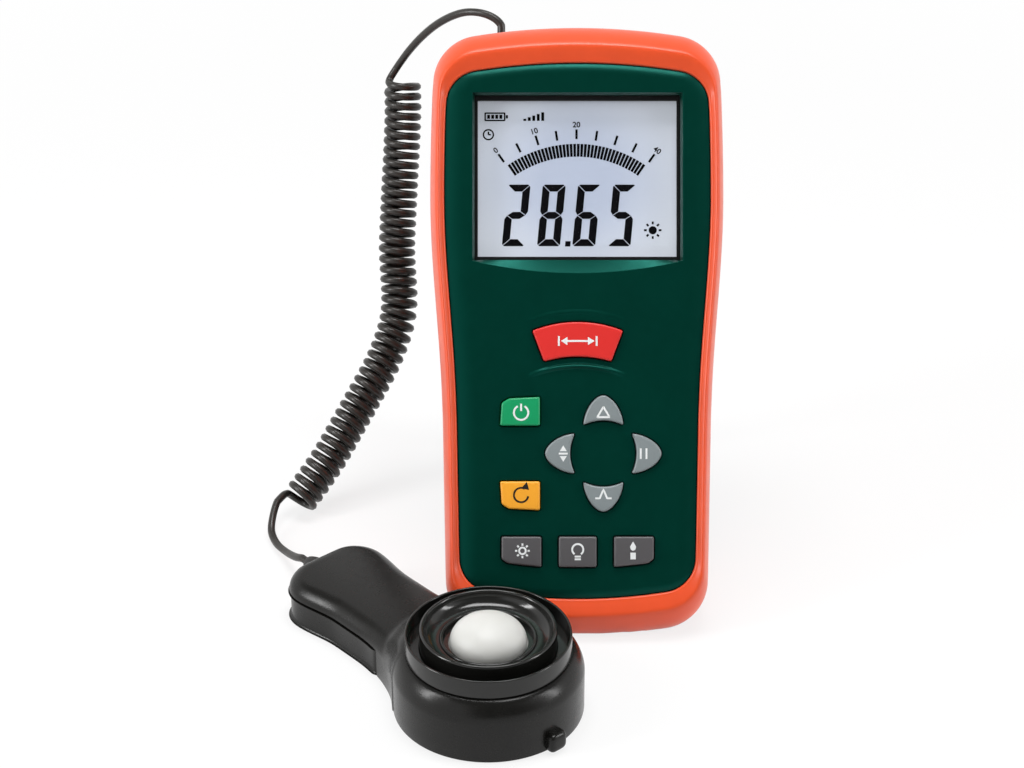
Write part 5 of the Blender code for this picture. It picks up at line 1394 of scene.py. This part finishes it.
class LIGHTMETER_OT_sensor_shell(bpy.types.Operator):
    """Sensor cover: its plan drawn in towards a spine, over a top that ramps from handle to puck"""

    bl_idname = "light_meter.sensor_shell"
    bl_label = "Sensor cover"

    def execute(self, context):
        looks = context.scene.sensor_looks
        plan, low = sensor_plan()
        plan = np.concatenate([plan, plan[-2:0:-1] * (1, -1)])
        low = np.concatenate([low, low[-2:0:-1]])
        spine_end = HANDLE_REACH - SPINE_MARGIN
        spine = np.stack([np.clip(plan[:, 0], 0, spine_end), np.zeros(len(plan))], axis=1)
        inwards = spine - plan
        away = np.linalg.norm(inwards, axis=1)
        inwards /= away[:, None]
        radius = looks.edge

        def top(flat):
            """The upper surface before its edge is rounded: handle height, ramped up to the puck's."""
            from_puck = np.linalg.norm(flat, axis=-1)
            ramp = 1 - smooth_step(from_puck, COLLAR_RADIUS, COLLAR_RADIUS + RAMP_REACH)
            crown = looks.crown * (1 - (flat[..., 1] / HANDLE_WAIST) ** 2) * (1 - ramp)
            return HANDLE_HEIGHT - looks.crown + (PUCK_HEIGHT - HANDLE_HEIGHT + looks.crown) * ramp + crown

        def row(inset, drop):
            flat = plan + inwards * np.minimum(inset, away)[:, None]
            return np.concatenate([flat, (top(flat) - drop)[:, None]], axis=1)

        def at_height(inset, height):
            flat = plan + inwards * np.minimum(inset, away)[:, None]
            return np.concatenate([flat, np.broadcast_to(height, len(flat))[:, None]], axis=1)

        floor = np.maximum(low, FLOOR_THICKNESS + GAP)
        rows = [at_height(1.0, floor), at_height(PUCK_WALL, floor), at_height(PUCK_WALL, low)]
        rows += [at_height(SEAM_EDGE * (1 - s), low + SEAM_EDGE * (1 - c)) for c, s in quarter_turn(5)]
        foot = low + SEAM_EDGE
        wall = row(0.0, radius)[:, 2] - foot
        rows += [at_height(0.0, foot + wall * share) for share in (0.33, 0.66)]
        rows += [row(radius * (1 - c), radius * (1 - s)) for c, s in quarter_turn(13)]
        for share in np.linspace(0, 1, 16)[1:]:
            rows.append(row(radius + (away - radius) * share, 0.0))
        shape = Shape()
        shape.grid(on_sensor(np.stack(rows)))
        satin = satin_black("sensor_satin", looks.shell, 0.22, 0.30, 0.28)
        shell = shape.piece("sensor_shell", satin, "sensor", "sensor_plastic", 32)
        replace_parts(shell, "sensor_cover")
        return {"FINISHED"}


class LIGHTMETER_OT_sensor_base(bpy.types.Operator):
    """Lower shell: the handle's plan below the seam with eased edges, and the disc that closes the puck"""

    bl_idname = "light_meter.sensor_base"
    bl_label = "Sensor base"

    def execute(self, context):
        s = np.linspace(SEAM_START + GAP, HANDLE_REACH - HANDLE_TAIL_CORNER, 50)
        half = np.concatenate([np.stack([s, handle_half(s)], axis=1), tail_half()])
        edge = np.concatenate([half, half[-2::-1] * (1, -1)])[::-1]
        width = np.linspace(-1, 1, 12)[1:-1, None]
        edge = np.concatenate([edge, np.array([[SEAM_START + GAP, 0]]) + width * (0, half[0, 1])])
        edge = grown(eased(edge[::-1], BASE_EASE, 220), BASE_PROUD)
        middle = np.array([(SEAM_START + HANDLE_REACH) / 2, 0])
        low = [(BASE_FOOT_EDGE * (1 - s), BASE_FOOT_EDGE * (1 - c)) for c, s in quarter_turn(7)]
        high = [(BASE_EDGE * (1 - c), SEAM_HEIGHT - BASE_EDGE * (1 - s)) for c, s in quarter_turn(7)]
        shape = Shape()
        rows = [(edge * 0 + middle, 0.0)]
        rows += [(grown(edge, -inset), height) for inset, height in low + high]
        rows.append((edge * 0 + middle, SEAM_HEIGHT))
        rows = [np.concatenate([flat, np.full((len(flat), 1), height)], axis=1) for flat, height in rows]
        shape.grid(on_sensor(np.stack(rows)))
        disc = PUCK_RADIUS - PUCK_WALL - GAP
        profile = [(0, 0), (disc - 0.0010, 0), (disc - 0.0004, 0), (disc, 0.0004), (disc, FLOOR_THICKNESS),
                   (0, FLOOR_THICKNESS)]
        shape.lathe(profile, on_sensor)
        material = bpy.data.materials["sensor_satin"]
        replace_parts(shape.piece("sensor_underside", material, "sensor", "sensor_plastic", 40), "sensor_base")
        return {"FINISHED"}


class LIGHTMETER_OT_collar(bpy.types.Operator):
    """Collar and dome: rim, groove, round mouth, bowl and bead, and a hollow cap, turned about one axis"""

    bl_idname = "light_meter.collar"
    bl_label = "Collar"

    def execute(self, context):
        looks = context.scene.sensor_looks
        low = PUCK_HEIGHT + GAP
        edge = RIM_EDGE
        inside = COLLAR_RADIUS - RIM_THICKNESS
        outer = arc((COLLAR_RADIUS - edge, COLLAR_RIM_HEIGHT - edge), edge, 0, 90, 7)
        inner = arc((inside + edge, COLLAR_RIM_HEIGHT - edge), edge, 90, 180, 7)
        groove = low + GROOVE_FLOOR
        lip_height = COLLAR_MOUTH_HEIGHT - MOUTH_LIP
        mouth = arc((COLLAR_MOUTH_RADIUS - MOUTH_LIP, lip_height), MOUTH_LIP, 0, 180, 13)
        start, stop = COLLAR_MOUTH_RADIUS - 2 * MOUTH_LIP, COLLAR_STEP_RADIUS + BOWL_MARGIN
        bottom = DOME_BASE + BOWL_FLOOR
        turn = np.linspace(0, math.pi / 2, 18)[1:]
        bowl = np.stack([
            stop + (start - stop) * np.cos(turn), lip_height - (lip_height - bottom) * np.sin(turn)
        ], axis=1)
        bead = arc((COLLAR_STEP_RADIUS - BEAD_INSET, bottom), BEAD, 0, 180, 11)
        seat = DOME_BASE - GAP
        profile = np.concatenate([
            [(DOME_RADIUS + GAP, low), (COLLAR_RADIUS, low)], outer, inner,
            [(inside, groove + edge), (inside - edge, groove), (COLLAR_MOUTH_RADIUS + edge, groove),
             (COLLAR_MOUTH_RADIUS, groove + edge)],
            mouth, bowl, bead,
            [(COLLAR_STEP_RADIUS - SEAT_INSET, seat), (DOME_RADIUS + GAP, seat), (DOME_RADIUS + GAP, low)],
        ])
        shape = Shape()
        shape.lathe(profile, on_sensor, 160)
        gloss = gloss_black("collar_gloss", looks.collar)
        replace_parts(shape.piece("collar", gloss, "sensor", "black_plastic", 40), "sensor_collar")

        shape = Shape()
        turn = np.linspace(0, math.pi / 2, 22)
        cap = np.stack([DOME_RADIUS * np.cos(turn), DOME_BASE + DOME_RISE * np.sin(turn)], axis=1)
        radius, rise, turn = DOME_RADIUS - DOME_WALL, DOME_RISE - DOME_WALL, turn[::-1]
        hollow = np.stack([radius * np.cos(turn), DOME_BASE + rise * np.sin(turn)], axis=1)
        flange, step = DOME_FLANGE_RADIUS, low + DOME_FLANGE_HEIGHT
        profile = np.concatenate([
            [(flange, low), (flange, step), (DOME_RADIUS, step)], cap, hollow, [(radius, low), (flange, low)],
        ])
        shape.lathe(profile, on_sensor, 128)
        dome = shape.piece("dome", diffuser_white(looks.dome), "sensor", "diffuser", 40)
        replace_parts(dome, "diffuser_dome")
        return {"FINISHED"}


class LIGHTMETER_OT_lug(bpy.types.Operator):
    """Cap lug on the puck's wall: a superellipsoid block"""

    bl_idname = "light_meter.lug"
    bl_label = "Cap lug"

    def execute(self, context):
        up = np.linspace(-math.pi / 2, math.pi / 2, 33)[:, None]
        turn = np.linspace(-math.pi, math.pi, 64, endpoint=False)[None]

        def power(value):
            return np.sign(value) * np.abs(value) ** CAP_LUG_POWER

        size = (CAP_LUG_REACH + CAP_LUG_SINK) / 2, CAP_LUG_WIDTH / 2, CAP_LUG_HEIGHT / 2
        x = PUCK_RADIUS + CAP_LUG_REACH - size[0] + size[0] * power(np.cos(up)) * power(np.cos(turn))
        y = size[1] * power(np.cos(up)) * power(np.sin(turn))
        z = np.broadcast_to(size[2] + size[2] * power(np.sin(up)), x.shape)
        angle = CAP_LUG_TURN - SENSOR_TURN
        cos, sin = math.cos(angle), math.sin(angle)
        shape = Shape()
        shape.grid(on_sensor(np.stack([x * cos - y * sin, x * sin + y * cos, z], axis=-1)))
        shape.piece("cap_lug", bpy.data.materials["sensor_satin"], "sensor", "sensor_plastic", 50)
        return {"FINISHED"}


class LIGHTMETER_OT_glands(bpy.types.Operator):
    """Strain reliefs at both ends of the cord: ringed sleeves turned about the cord's line"""

    bl_idname = "light_meter.glands"
    bl_label = "Strain reliefs"

    def execute(self, context):
        material = satin_black("gland_rubber", (0.016, 0.015, 0.014), 0.42, 0.55)
        place = METER_GLAND_PLACE

        def in_meter(points):
            return leaned(points + np.array([place[0], place[1], 0]))

        radius, low, high = METER_GLAND_RADIUS, METER_GLAND_LOW, METER_LENGTH
        stem = radius - METER_GLAND_STEP
        profile = [
            (0, low), (stem, low), (stem, low + 0.0040), (radius, low + 0.0042), (radius, high - 0.0010),
            (radius - 0.0002, high - 0.0004), (radius - 0.0008, high), (0, high),
        ]
        shape = Shape()
        shape.lathe(profile, in_meter, 48)
        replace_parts(shape.piece("cord_gland_meter", material, "meter", "black_plastic", 40), "meter_gland")

        def in_tail(points):
            x, y, z = np.moveaxis(points, -1, 0)
            return on_sensor(np.stack([HANDLE_REACH + z, y, SENSOR_GLAND_HEIGHT + x], axis=-1))

        radius, end = SENSOR_GLAND_RADIUS, GAP + SENSOR_GLAND_LENGTH
        along = np.linspace(0, 1, 40)
        sleeve = radius - SENSOR_GLAND_TAPER * along**2
        body = np.stack([sleeve, GAP + (SENSOR_GLAND_LENGTH - 0.0006) * along], axis=1)
        profile = np.concatenate([
            [(0, SENSOR_GLAND_ROOT), (SENSOR_GLAND_STEM, SENSOR_GLAND_ROOT), (SENSOR_GLAND_STEM, GAP)], body,
            [(radius - 0.0010, end - 0.0002), (radius - 0.0014, end), (0, end)],
        ])
        shape = Shape()
        shape.lathe(profile, in_tail, 48)
        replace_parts(shape.piece("cord_gland_sensor", material, "sensor", "black_plastic", 40), "sensor_gland")
        return {"FINISHED"}


# The curly cord


def smooth_route(points, spacing, before=None, after=None):
    """Evenly spaced points along a smooth curve through a route, in line with the points before and after."""
    spots = np.array(points)
    before = 2 * spots[0] - spots[1] if before is None else before
    after = 2 * spots[-1] - spots[-2] if after is None else after
    ends = np.vstack([before, spots, after])
    share = np.linspace(0, 1, 40, endpoint=False)[None, :, None]
    a, b, c, d = (ends[k:len(ends) - 3 + k, None] for k in range(4))
    fine = 0.5 * (2 * b + (c - a) * share + (2 * a - 5 * b + 4 * c - d) * share**2
                  + (3 * b - a - 3 * c + d) * share**3)
    return spaced(np.vstack([fine.reshape(-1, 3), spots[-1]]), spacing)


def spaced(points, spacing):
    """A line of points at an even spacing along its length."""
    run = np.concatenate([[0], np.cumsum(np.linalg.norm(np.diff(points, axis=0), axis=1))])
    even = np.linspace(0, run[-1], max(int(round(run[-1] / spacing)), 2) + 1)
    return np.stack([np.interp(even, run, points[:, k]) for k in range(3)], axis=1)


def curl():
    """The curls' centre line: a helix about its route, opened at the bends, and the headings of its ends."""
    route = smooth_route(COIL_ROUTE, CORD_STEP)
    step = np.linalg.norm(np.diff(route, axis=0), axis=1).mean()
    ahead = np.gradient(route, step, axis=0)
    ahead /= np.linalg.norm(ahead, axis=1, keepdims=True)
    curvature = np.linalg.norm(np.gradient(ahead, step, axis=0), axis=1)
    window = np.ones(BEND_WINDOW) / BEND_WINDOW
    curvature = np.convolve(np.pad(curvature, BEND_WINDOW // 2, mode="edge"), window, mode="valid")
    pitch = (CORD_DIAMETER + CURL_GAP) / (1 - CURL_RADIUS * curvature)
    turn = np.concatenate([[0], np.cumsum(2 * math.pi * step / pitch[:-1])])
    turns = math.floor(turn[-1] / (2 * math.pi))
    across = np.empty_like(route)
    left = np.array([-1.0, 0, 0])
    for i, forward in enumerate(ahead):
        left = left - forward * left.dot(forward)
        left /= np.linalg.norm(left)
        across[i] = left
    over = np.cross(across, ahead)

    def at(angles):
        """Points of the helix at angles along it."""
        middle, out, up = (
            np.stack([np.interp(angles, turn, line[:, k]) for k in range(3)], axis=1)
            for line in (route, across, over)
        )
        return middle + CURL_RADIUS * (np.cos(angles)[:, None] * out + np.sin(angles)[:, None] * up)

    first, last = np.array(COIL_TOP_HEADING), np.array(COIL_FOOT_HEADING)
    angles = np.linspace(0, 2 * math.pi * turns, turns * CURL_STEPS)
    return at(angles), first / np.linalg.norm(first), last / np.linalg.norm(last)


def cord_line():
    """The whole cord's centre line: lead from the meter, curls, lead to the sensor, eased where they join."""
    helix, first, last = curl()
    d = CORD_DIAMETER
    gland = leaned(np.array([METER_GLAND_PLACE[0], METER_GLAND_PLACE[1], METER_LENGTH + GAP]))
    up = leaned(np.array([0.0, 0, 1])) - leaned(np.zeros(3))
    coil_top = helix[0] + (d + GAP) * first
    route = [gland + d * up, *METER_LEAD_ROUTE, coil_top + d * first]
    lead = smooth_route(route, LEAD_STEP, gland, coil_top)
    tail_end = on_sensor(np.array([HANDLE_REACH + GAP + SENSOR_GLAND_LENGTH + GAP, 0, SENSOR_GLAND_HEIGHT]))
    out = on_sensor(np.array([1.0, 0, 0])) - on_sensor(np.zeros(3))
    coil_foot = helix[-1] + (d + GAP) * last
    route = [coil_foot + d * last, *SENSOR_LEAD_ROUTE, tail_end + d * out]
    tail = smooth_route(route, LEAD_STEP, coil_foot, tail_end)
    points = spaced(np.vstack([gland, lead, coil_top, helix, coil_foot, tail, tail_end]), CORD_STEP)
    reach = JOIN_BELL
    bell = np.exp(-((np.arange(-reach, reach + 1) / (0.3 * reach)) ** 2) / 2)
    bell /= bell.sum()
    before = 2 * points[0] - points[reach:0:-1]
    after = 2 * points[-1] - points[-2:-reach - 2:-1]
    long = np.vstack([before, points, after])
    soft = np.stack([np.convolve(long[:, k], bell, mode="valid") for k in range(3)], axis=1)
    run = np.arange(len(points)) * CORD_STEP
    ends = np.array([run[np.linalg.norm(points - spot, axis=1).argmin()] for spot in (helix[0], helix[-1])])
    share = np.exp(-((run[:, None] - ends) / JOIN_REACH) ** 2).max(axis=1)[:, None]
    return points + (soft - points) * share, helix[0], helix[-1]


class LIGHTMETER_OT_cord(bpy.types.Operator):
    """Curly cord: one round tube along its whole line, bent between meter and sensor"""

    bl_idname = "light_meter.cord"
    bl_label = "Curly cord"

    def execute(self, context):
        points, top, foot = cord_line()
        curve = bpy.data.curves.new("curly_cord", "CURVE")
        curve.dimensions = "3D"
        curve.bevel_depth = CORD_DIAMETER / 2
        curve.bevel_resolution = 2
        curve.use_fill_caps = True
        spline = curve.splines.new("POLY")
        spline.points.add(len(points) - 1)
        spline.points.foreach_set("co", np.hstack([points, np.ones((len(points), 1))]).ravel())
        spline.use_smooth = True
        drawn = bpy.data.objects.new("cord_curve", curve)
        context.scene.collection.objects.link(drawn)
        mesh = bpy.data.meshes.new_from_object(drawn.evaluated_get(context.evaluated_depsgraph_get()))
        bpy.data.objects.remove(drawn)
        mesh.name = "curly_cord"
        mesh.shade_smooth()
        mesh.materials.clear()
        mesh.materials.append(cord_jacket(context.scene.sensor_looks.cord))
        cord = bpy.data.objects.new("curly_cord", mesh)
        context.scene.collection.objects.link(cord)
        tuple(top)
        tuple(foot)
        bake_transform(cord)
        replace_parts(cord, "meter_lead", "cord_coil", "sensor_lead")
        run = float(np.linalg.norm(np.diff(points, axis=0), axis=1).sum())
        tuple(points[0])
        return {"FINISHED"}


# Finishes of the CAD nodes that stay


class LIGHTMETER_OT_inner(bpy.types.Operator):
    """Finishes of the pieces that keep their CAD shape: back, door, screws and everything inside"""

    bl_idname = "light_meter.inner"
    bl_label = "Case back and inner pieces"

    def execute(self, context):
        looks = context.scene.meter_looks
        steel = screw_steel()
        black = bpy.data.materials["stand_black"]
        green = bpy.data.materials["case_green"]
        board = board_green()
        rubber = satin_black("pad_rubber", (0.08, 0.08, 0.08), 0.6, 0.75)
        finishes = {
            "rear_case": green, "battery_door": green, "display_lens": clear_window(),
            "display_bezel": satin_black("window_black", (0.006, 0.006, 0.006), 0.3, 0.4),
            "lcd_panel": display_film(looks), "lcd_contact_strip": rubber,
            "backlight_panel": printed("backlight_white", (0.80, 0.82, 0.80)), "circuit_board": board,
            "measuring_chip": satin_black("chip_black", (0.015, 0.015, 0.015), 0.45, 0.6),
            "button_pad": rubber,
            "battery": satin_black("battery_wrap", (0.05, 0.05, 0.06), 0.28, 0.4), "battery_snap": black,
            "colour_filter": gloss_black("filter_glass", (0.08, 0.30, 0.17)),
            "photo_cell": gloss_black("photo_cell", (0.02, 0.02, 0.05)), "cell_board": board,
        }
        screws = [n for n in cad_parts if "screw" in n]
        finishes.update({name: steel for name in screws})
        for name, material in finishes.items():
            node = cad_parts[name]
            node.data.materials.clear()
            node.data.materials.append(material)
        return {"FINISHED"}


# Stage


class LIGHTMETER_OT_stage(bpy.types.Operator):
    """Pale floor, white surround, two side strips, an overhead softbox, and the camera"""

    bl_idname = "light_meter.stage"
    bl_label = "Stage"

    def execute(self, context):
        looks = context.scene.stage_looks
        scene = context.scene
        scene.view_settings.view_transform = "Standard"
        mesh = bpy.data.meshes.new("floor")
        half = FLOOR_HALF
        corners = [(-half, -half, 0), (half, -half, 0), (half, half, 0), (-half, half, 0)]
        mesh.from_pydata(corners, [], [(0, 1, 2, 3)])
        floor = bpy.data.objects.new("floor", mesh)
        floor.location = (0, 0, -FLOOR_DROP)
        scene.collection.objects.link(floor)
        mesh.materials.append(pale_floor(looks.floor_glow))
        world = bpy.data.worlds.new("surround")
        scene.world = world
        world.use_nodes = True
        surround(world, looks.ambient, looks.ceiling)
        softbox("left_strip", LEFT_STRIP_PLACE, STRIP_SIZE, looks.left_light)
        softbox("right_strip", RIGHT_STRIP_PLACE, STRIP_SIZE, looks.right_light)
        softbox("overhead_softbox", OVERHEAD_PLACE, OVERHEAD_SIZE, looks.top_light)
        camera = bpy.data.cameras.new("camera")
        camera.sensor_width = 36.0
        camera.lens = looks.lens
        camera.shift_y = looks.shift
        camera.clip_start = 0.01
        eye = bpy.data.objects.new("camera", camera)
        eye.location = CAMERA_PLACE
        eye.rotation_euler = (CAMERA_TILT, 0, 0)
        scene.collection.objects.link(eye)
        scene.camera = eye
        return {"FINISHED"}


def mixed(tree, share, low, high):
    """A number between two others by a share; each of the three is a socket or a plain number."""
    node = tree.nodes.new("ShaderNodeMix")
    for socket, value in zip((node.inputs["Factor"], node.inputs["A"], node.inputs["B"]), (share, low, high)):
        if isinstance(value, (int, float)):
            socket.default_value = value
        else:
            tree.links.new(value, socket)
    return node.outputs["Result"]


def faded(tree, value, start, end, low, high):
    """A socket's value from start to end mapped smoothly between two numbers."""
    node = tree.nodes.new("ShaderNodeMapRange")
    node.interpolation_type = "SMOOTHSTEP"
    for name, number in (("From Min", start), ("From Max", end), ("To Min", low), ("To Max", high)):
        node.inputs[name].default_value = number
    tree.links.new(value, node.inputs["Value"])
    return node.outputs["Result"]


def seen_rays(tree, names):
    """1 for rays of the named kinds, else 0."""
    path = tree.nodes.new("ShaderNodeLightPath")
    total = path.outputs[names[0]]
    for name in names[1:]:
        more = tree.nodes.new("ShaderNodeMath")
        more.operation = "MAXIMUM"
        tree.links.new(total, more.inputs[0])
        tree.links.new(path.outputs[name], more.inputs[1])
        total = more.outputs[0]
    return total


def pale_floor(glow):
    """A pale floor that is seen white, wholly so far out, and keeps a soft shadow round the object."""
    made = bpy.data.materials.new("floor_white")
    made.use_nodes = True
    tree = made.node_tree
    shader = tree.nodes["Principled BSDF"]
    shader.inputs["Base Color"].default_value = (0.86, 0.86, 0.86, 1)
    shader.inputs["Roughness"].default_value = 0.9
    shader.inputs["Specular IOR Level"].default_value = 0.1
    away = tree.nodes.new("ShaderNodeVectorMath")
    away.operation = "LENGTH"
    tree.links.new(tree.nodes.new("ShaderNodeTexCoord").outputs["Object"], away.inputs[0])
    share = faded(tree, away.outputs["Value"], 0.15, 0.55, glow, 1.0)
    seen = seen_rays(tree, ("Is Camera Ray", "Is Glossy Ray", "Is Transmission Ray"))
    mix = tree.nodes.new("ShaderNodeMixShader")
    tree.links.new(mixed(tree, seen, 0.0, share), mix.inputs["Fac"])
    tree.links.new(shader.outputs["BSDF"], mix.inputs[1])
    tree.links.new(tree.nodes.new("ShaderNodeEmission").outputs["Emission"], mix.inputs[2])
    tree.links.new(mix.outputs["Shader"], tree.nodes["Material Output"].inputs["Surface"])
    return made


def surround(world, ambient, ceiling):
    """White to the camera, an even light to the rest.

    Gloss and glass see white too, but for a dim ceiling and a dim room behind the camera, white on its left.
    """
    tree = world.node_tree
    background = tree.nodes["Background"]
    background.inputs["Color"].default_value = (1, 1, 1, 1)
    split = tree.nodes.new("ShaderNodeSeparateXYZ")
    tree.links.new(tree.nodes.new("ShaderNodeTexCoord").outputs["Generated"], split.inputs["Vector"])
    band = faded(tree, split.outputs["Z"], 0.55, 0.82, 1.0, ceiling)
    behind = faded(tree, split.outputs["Y"], -0.80, -0.25, 0.0, 1.0)
    left = faded(tree, split.outputs["X"], -0.20, -0.50, 0.0, 1.0)
    band = mixed(tree, mixed(tree, left, behind, 1.0), ceiling, band)
    glossy = seen_rays(tree, ("Is Glossy Ray", "Is Transmission Ray"))
    strength = mixed(tree, seen_rays(tree, ("Is Camera Ray",)), mixed(tree, glossy, ambient, band), 1.0)
    tree.links.new(strength, background.inputs["Strength"])


def softbox(name, place, size, watts):
    light = bpy.data.lights.new(name, "AREA")
    light.shape = "RECTANGLE"
    light.size, light.size_y = size
    light.energy = watts
    made = bpy.data.objects.new(name, light)
    made.location = place
    ahead = Vector(LAMP_AIM) - Vector(place)
    made.rotation_euler = ahead.to_track_quat("-Z", "Y").to_euler()
    bpy.context.scene.collection.objects.link(made)


OPERATORS = (
    LIGHTMETER_OT_stage, LIGHTMETER_OT_cord, LIGHTMETER_OT_boot, LIGHTMETER_OT_face, LIGHTMETER_OT_ridges,
    LIGHTMETER_OT_keys, LIGHTMETER_OT_icons, LIGHTMETER_OT_display, LIGHTMETER_OT_sensor_shell,
    LIGHTMETER_OT_sensor_base, LIGHTMETER_OT_collar, LIGHTMETER_OT_lug, LIGHTMETER_OT_glands,
    LIGHTMETER_OT_stand, LIGHTMETER_OT_inner,
)


class LIGHTMETER_PT_looks(bpy.types.Panel):
    """Lists the operators and the values that they use"""

    bl_label = "Light meter"
    bl_idname = "LIGHTMETER_PT_looks"
    bl_space_type = "VIEW_3D"
    bl_region_type = "UI"
    bl_category = "Light meter"

    def draw(self, context):
        for kind in OPERATORS:
            self.layout.operator(kind.bl_idname)
        for group in looks_of(context):
            for name in group.__annotations__:
                self.layout.prop(group, name)


CLASSES = (MeterLooks, SensorLooks, StageLooks, *OPERATORS, LIGHTMETER_PT_looks)


def register():
    for kind in CLASSES:
        bpy.utils.register_class(kind)
    bpy.types.Scene.meter_looks = bpy.props.PointerProperty(type=MeterLooks)
    bpy.types.Scene.sensor_looks = bpy.props.PointerProperty(type=SensorLooks)
    bpy.types.Scene.stage_looks = bpy.props.PointerProperty(type=StageLooks)


def unregister():
    del bpy.types.Scene.meter_looks
    del bpy.types.Scene.sensor_looks
    del bpy.types.Scene.stage_looks
    for kind in reversed(CLASSES):
        bpy.utils.unregister_class(kind)


def main():
    register()
    bpy.ops.light_meter.stage()
    bpy.ops.light_meter.cord()
    bpy.ops.light_meter.boot()
    bpy.ops.light_meter.face()
    bpy.ops.light_meter.ridges()
    bpy.ops.light_meter.keys()
    bpy.ops.light_meter.icons()
    bpy.ops.light_meter.display()
    bpy.ops.light_meter.sensor_shell()
    bpy.ops.light_meter.sensor_base()
    bpy.ops.light_meter.collar()
    bpy.ops.light_meter.lug()
    bpy.ops.light_meter.glands()
    bpy.ops.light_meter.stand()
    bpy.ops.light_meter.inner()


if __name__ == "__main__":
    main()
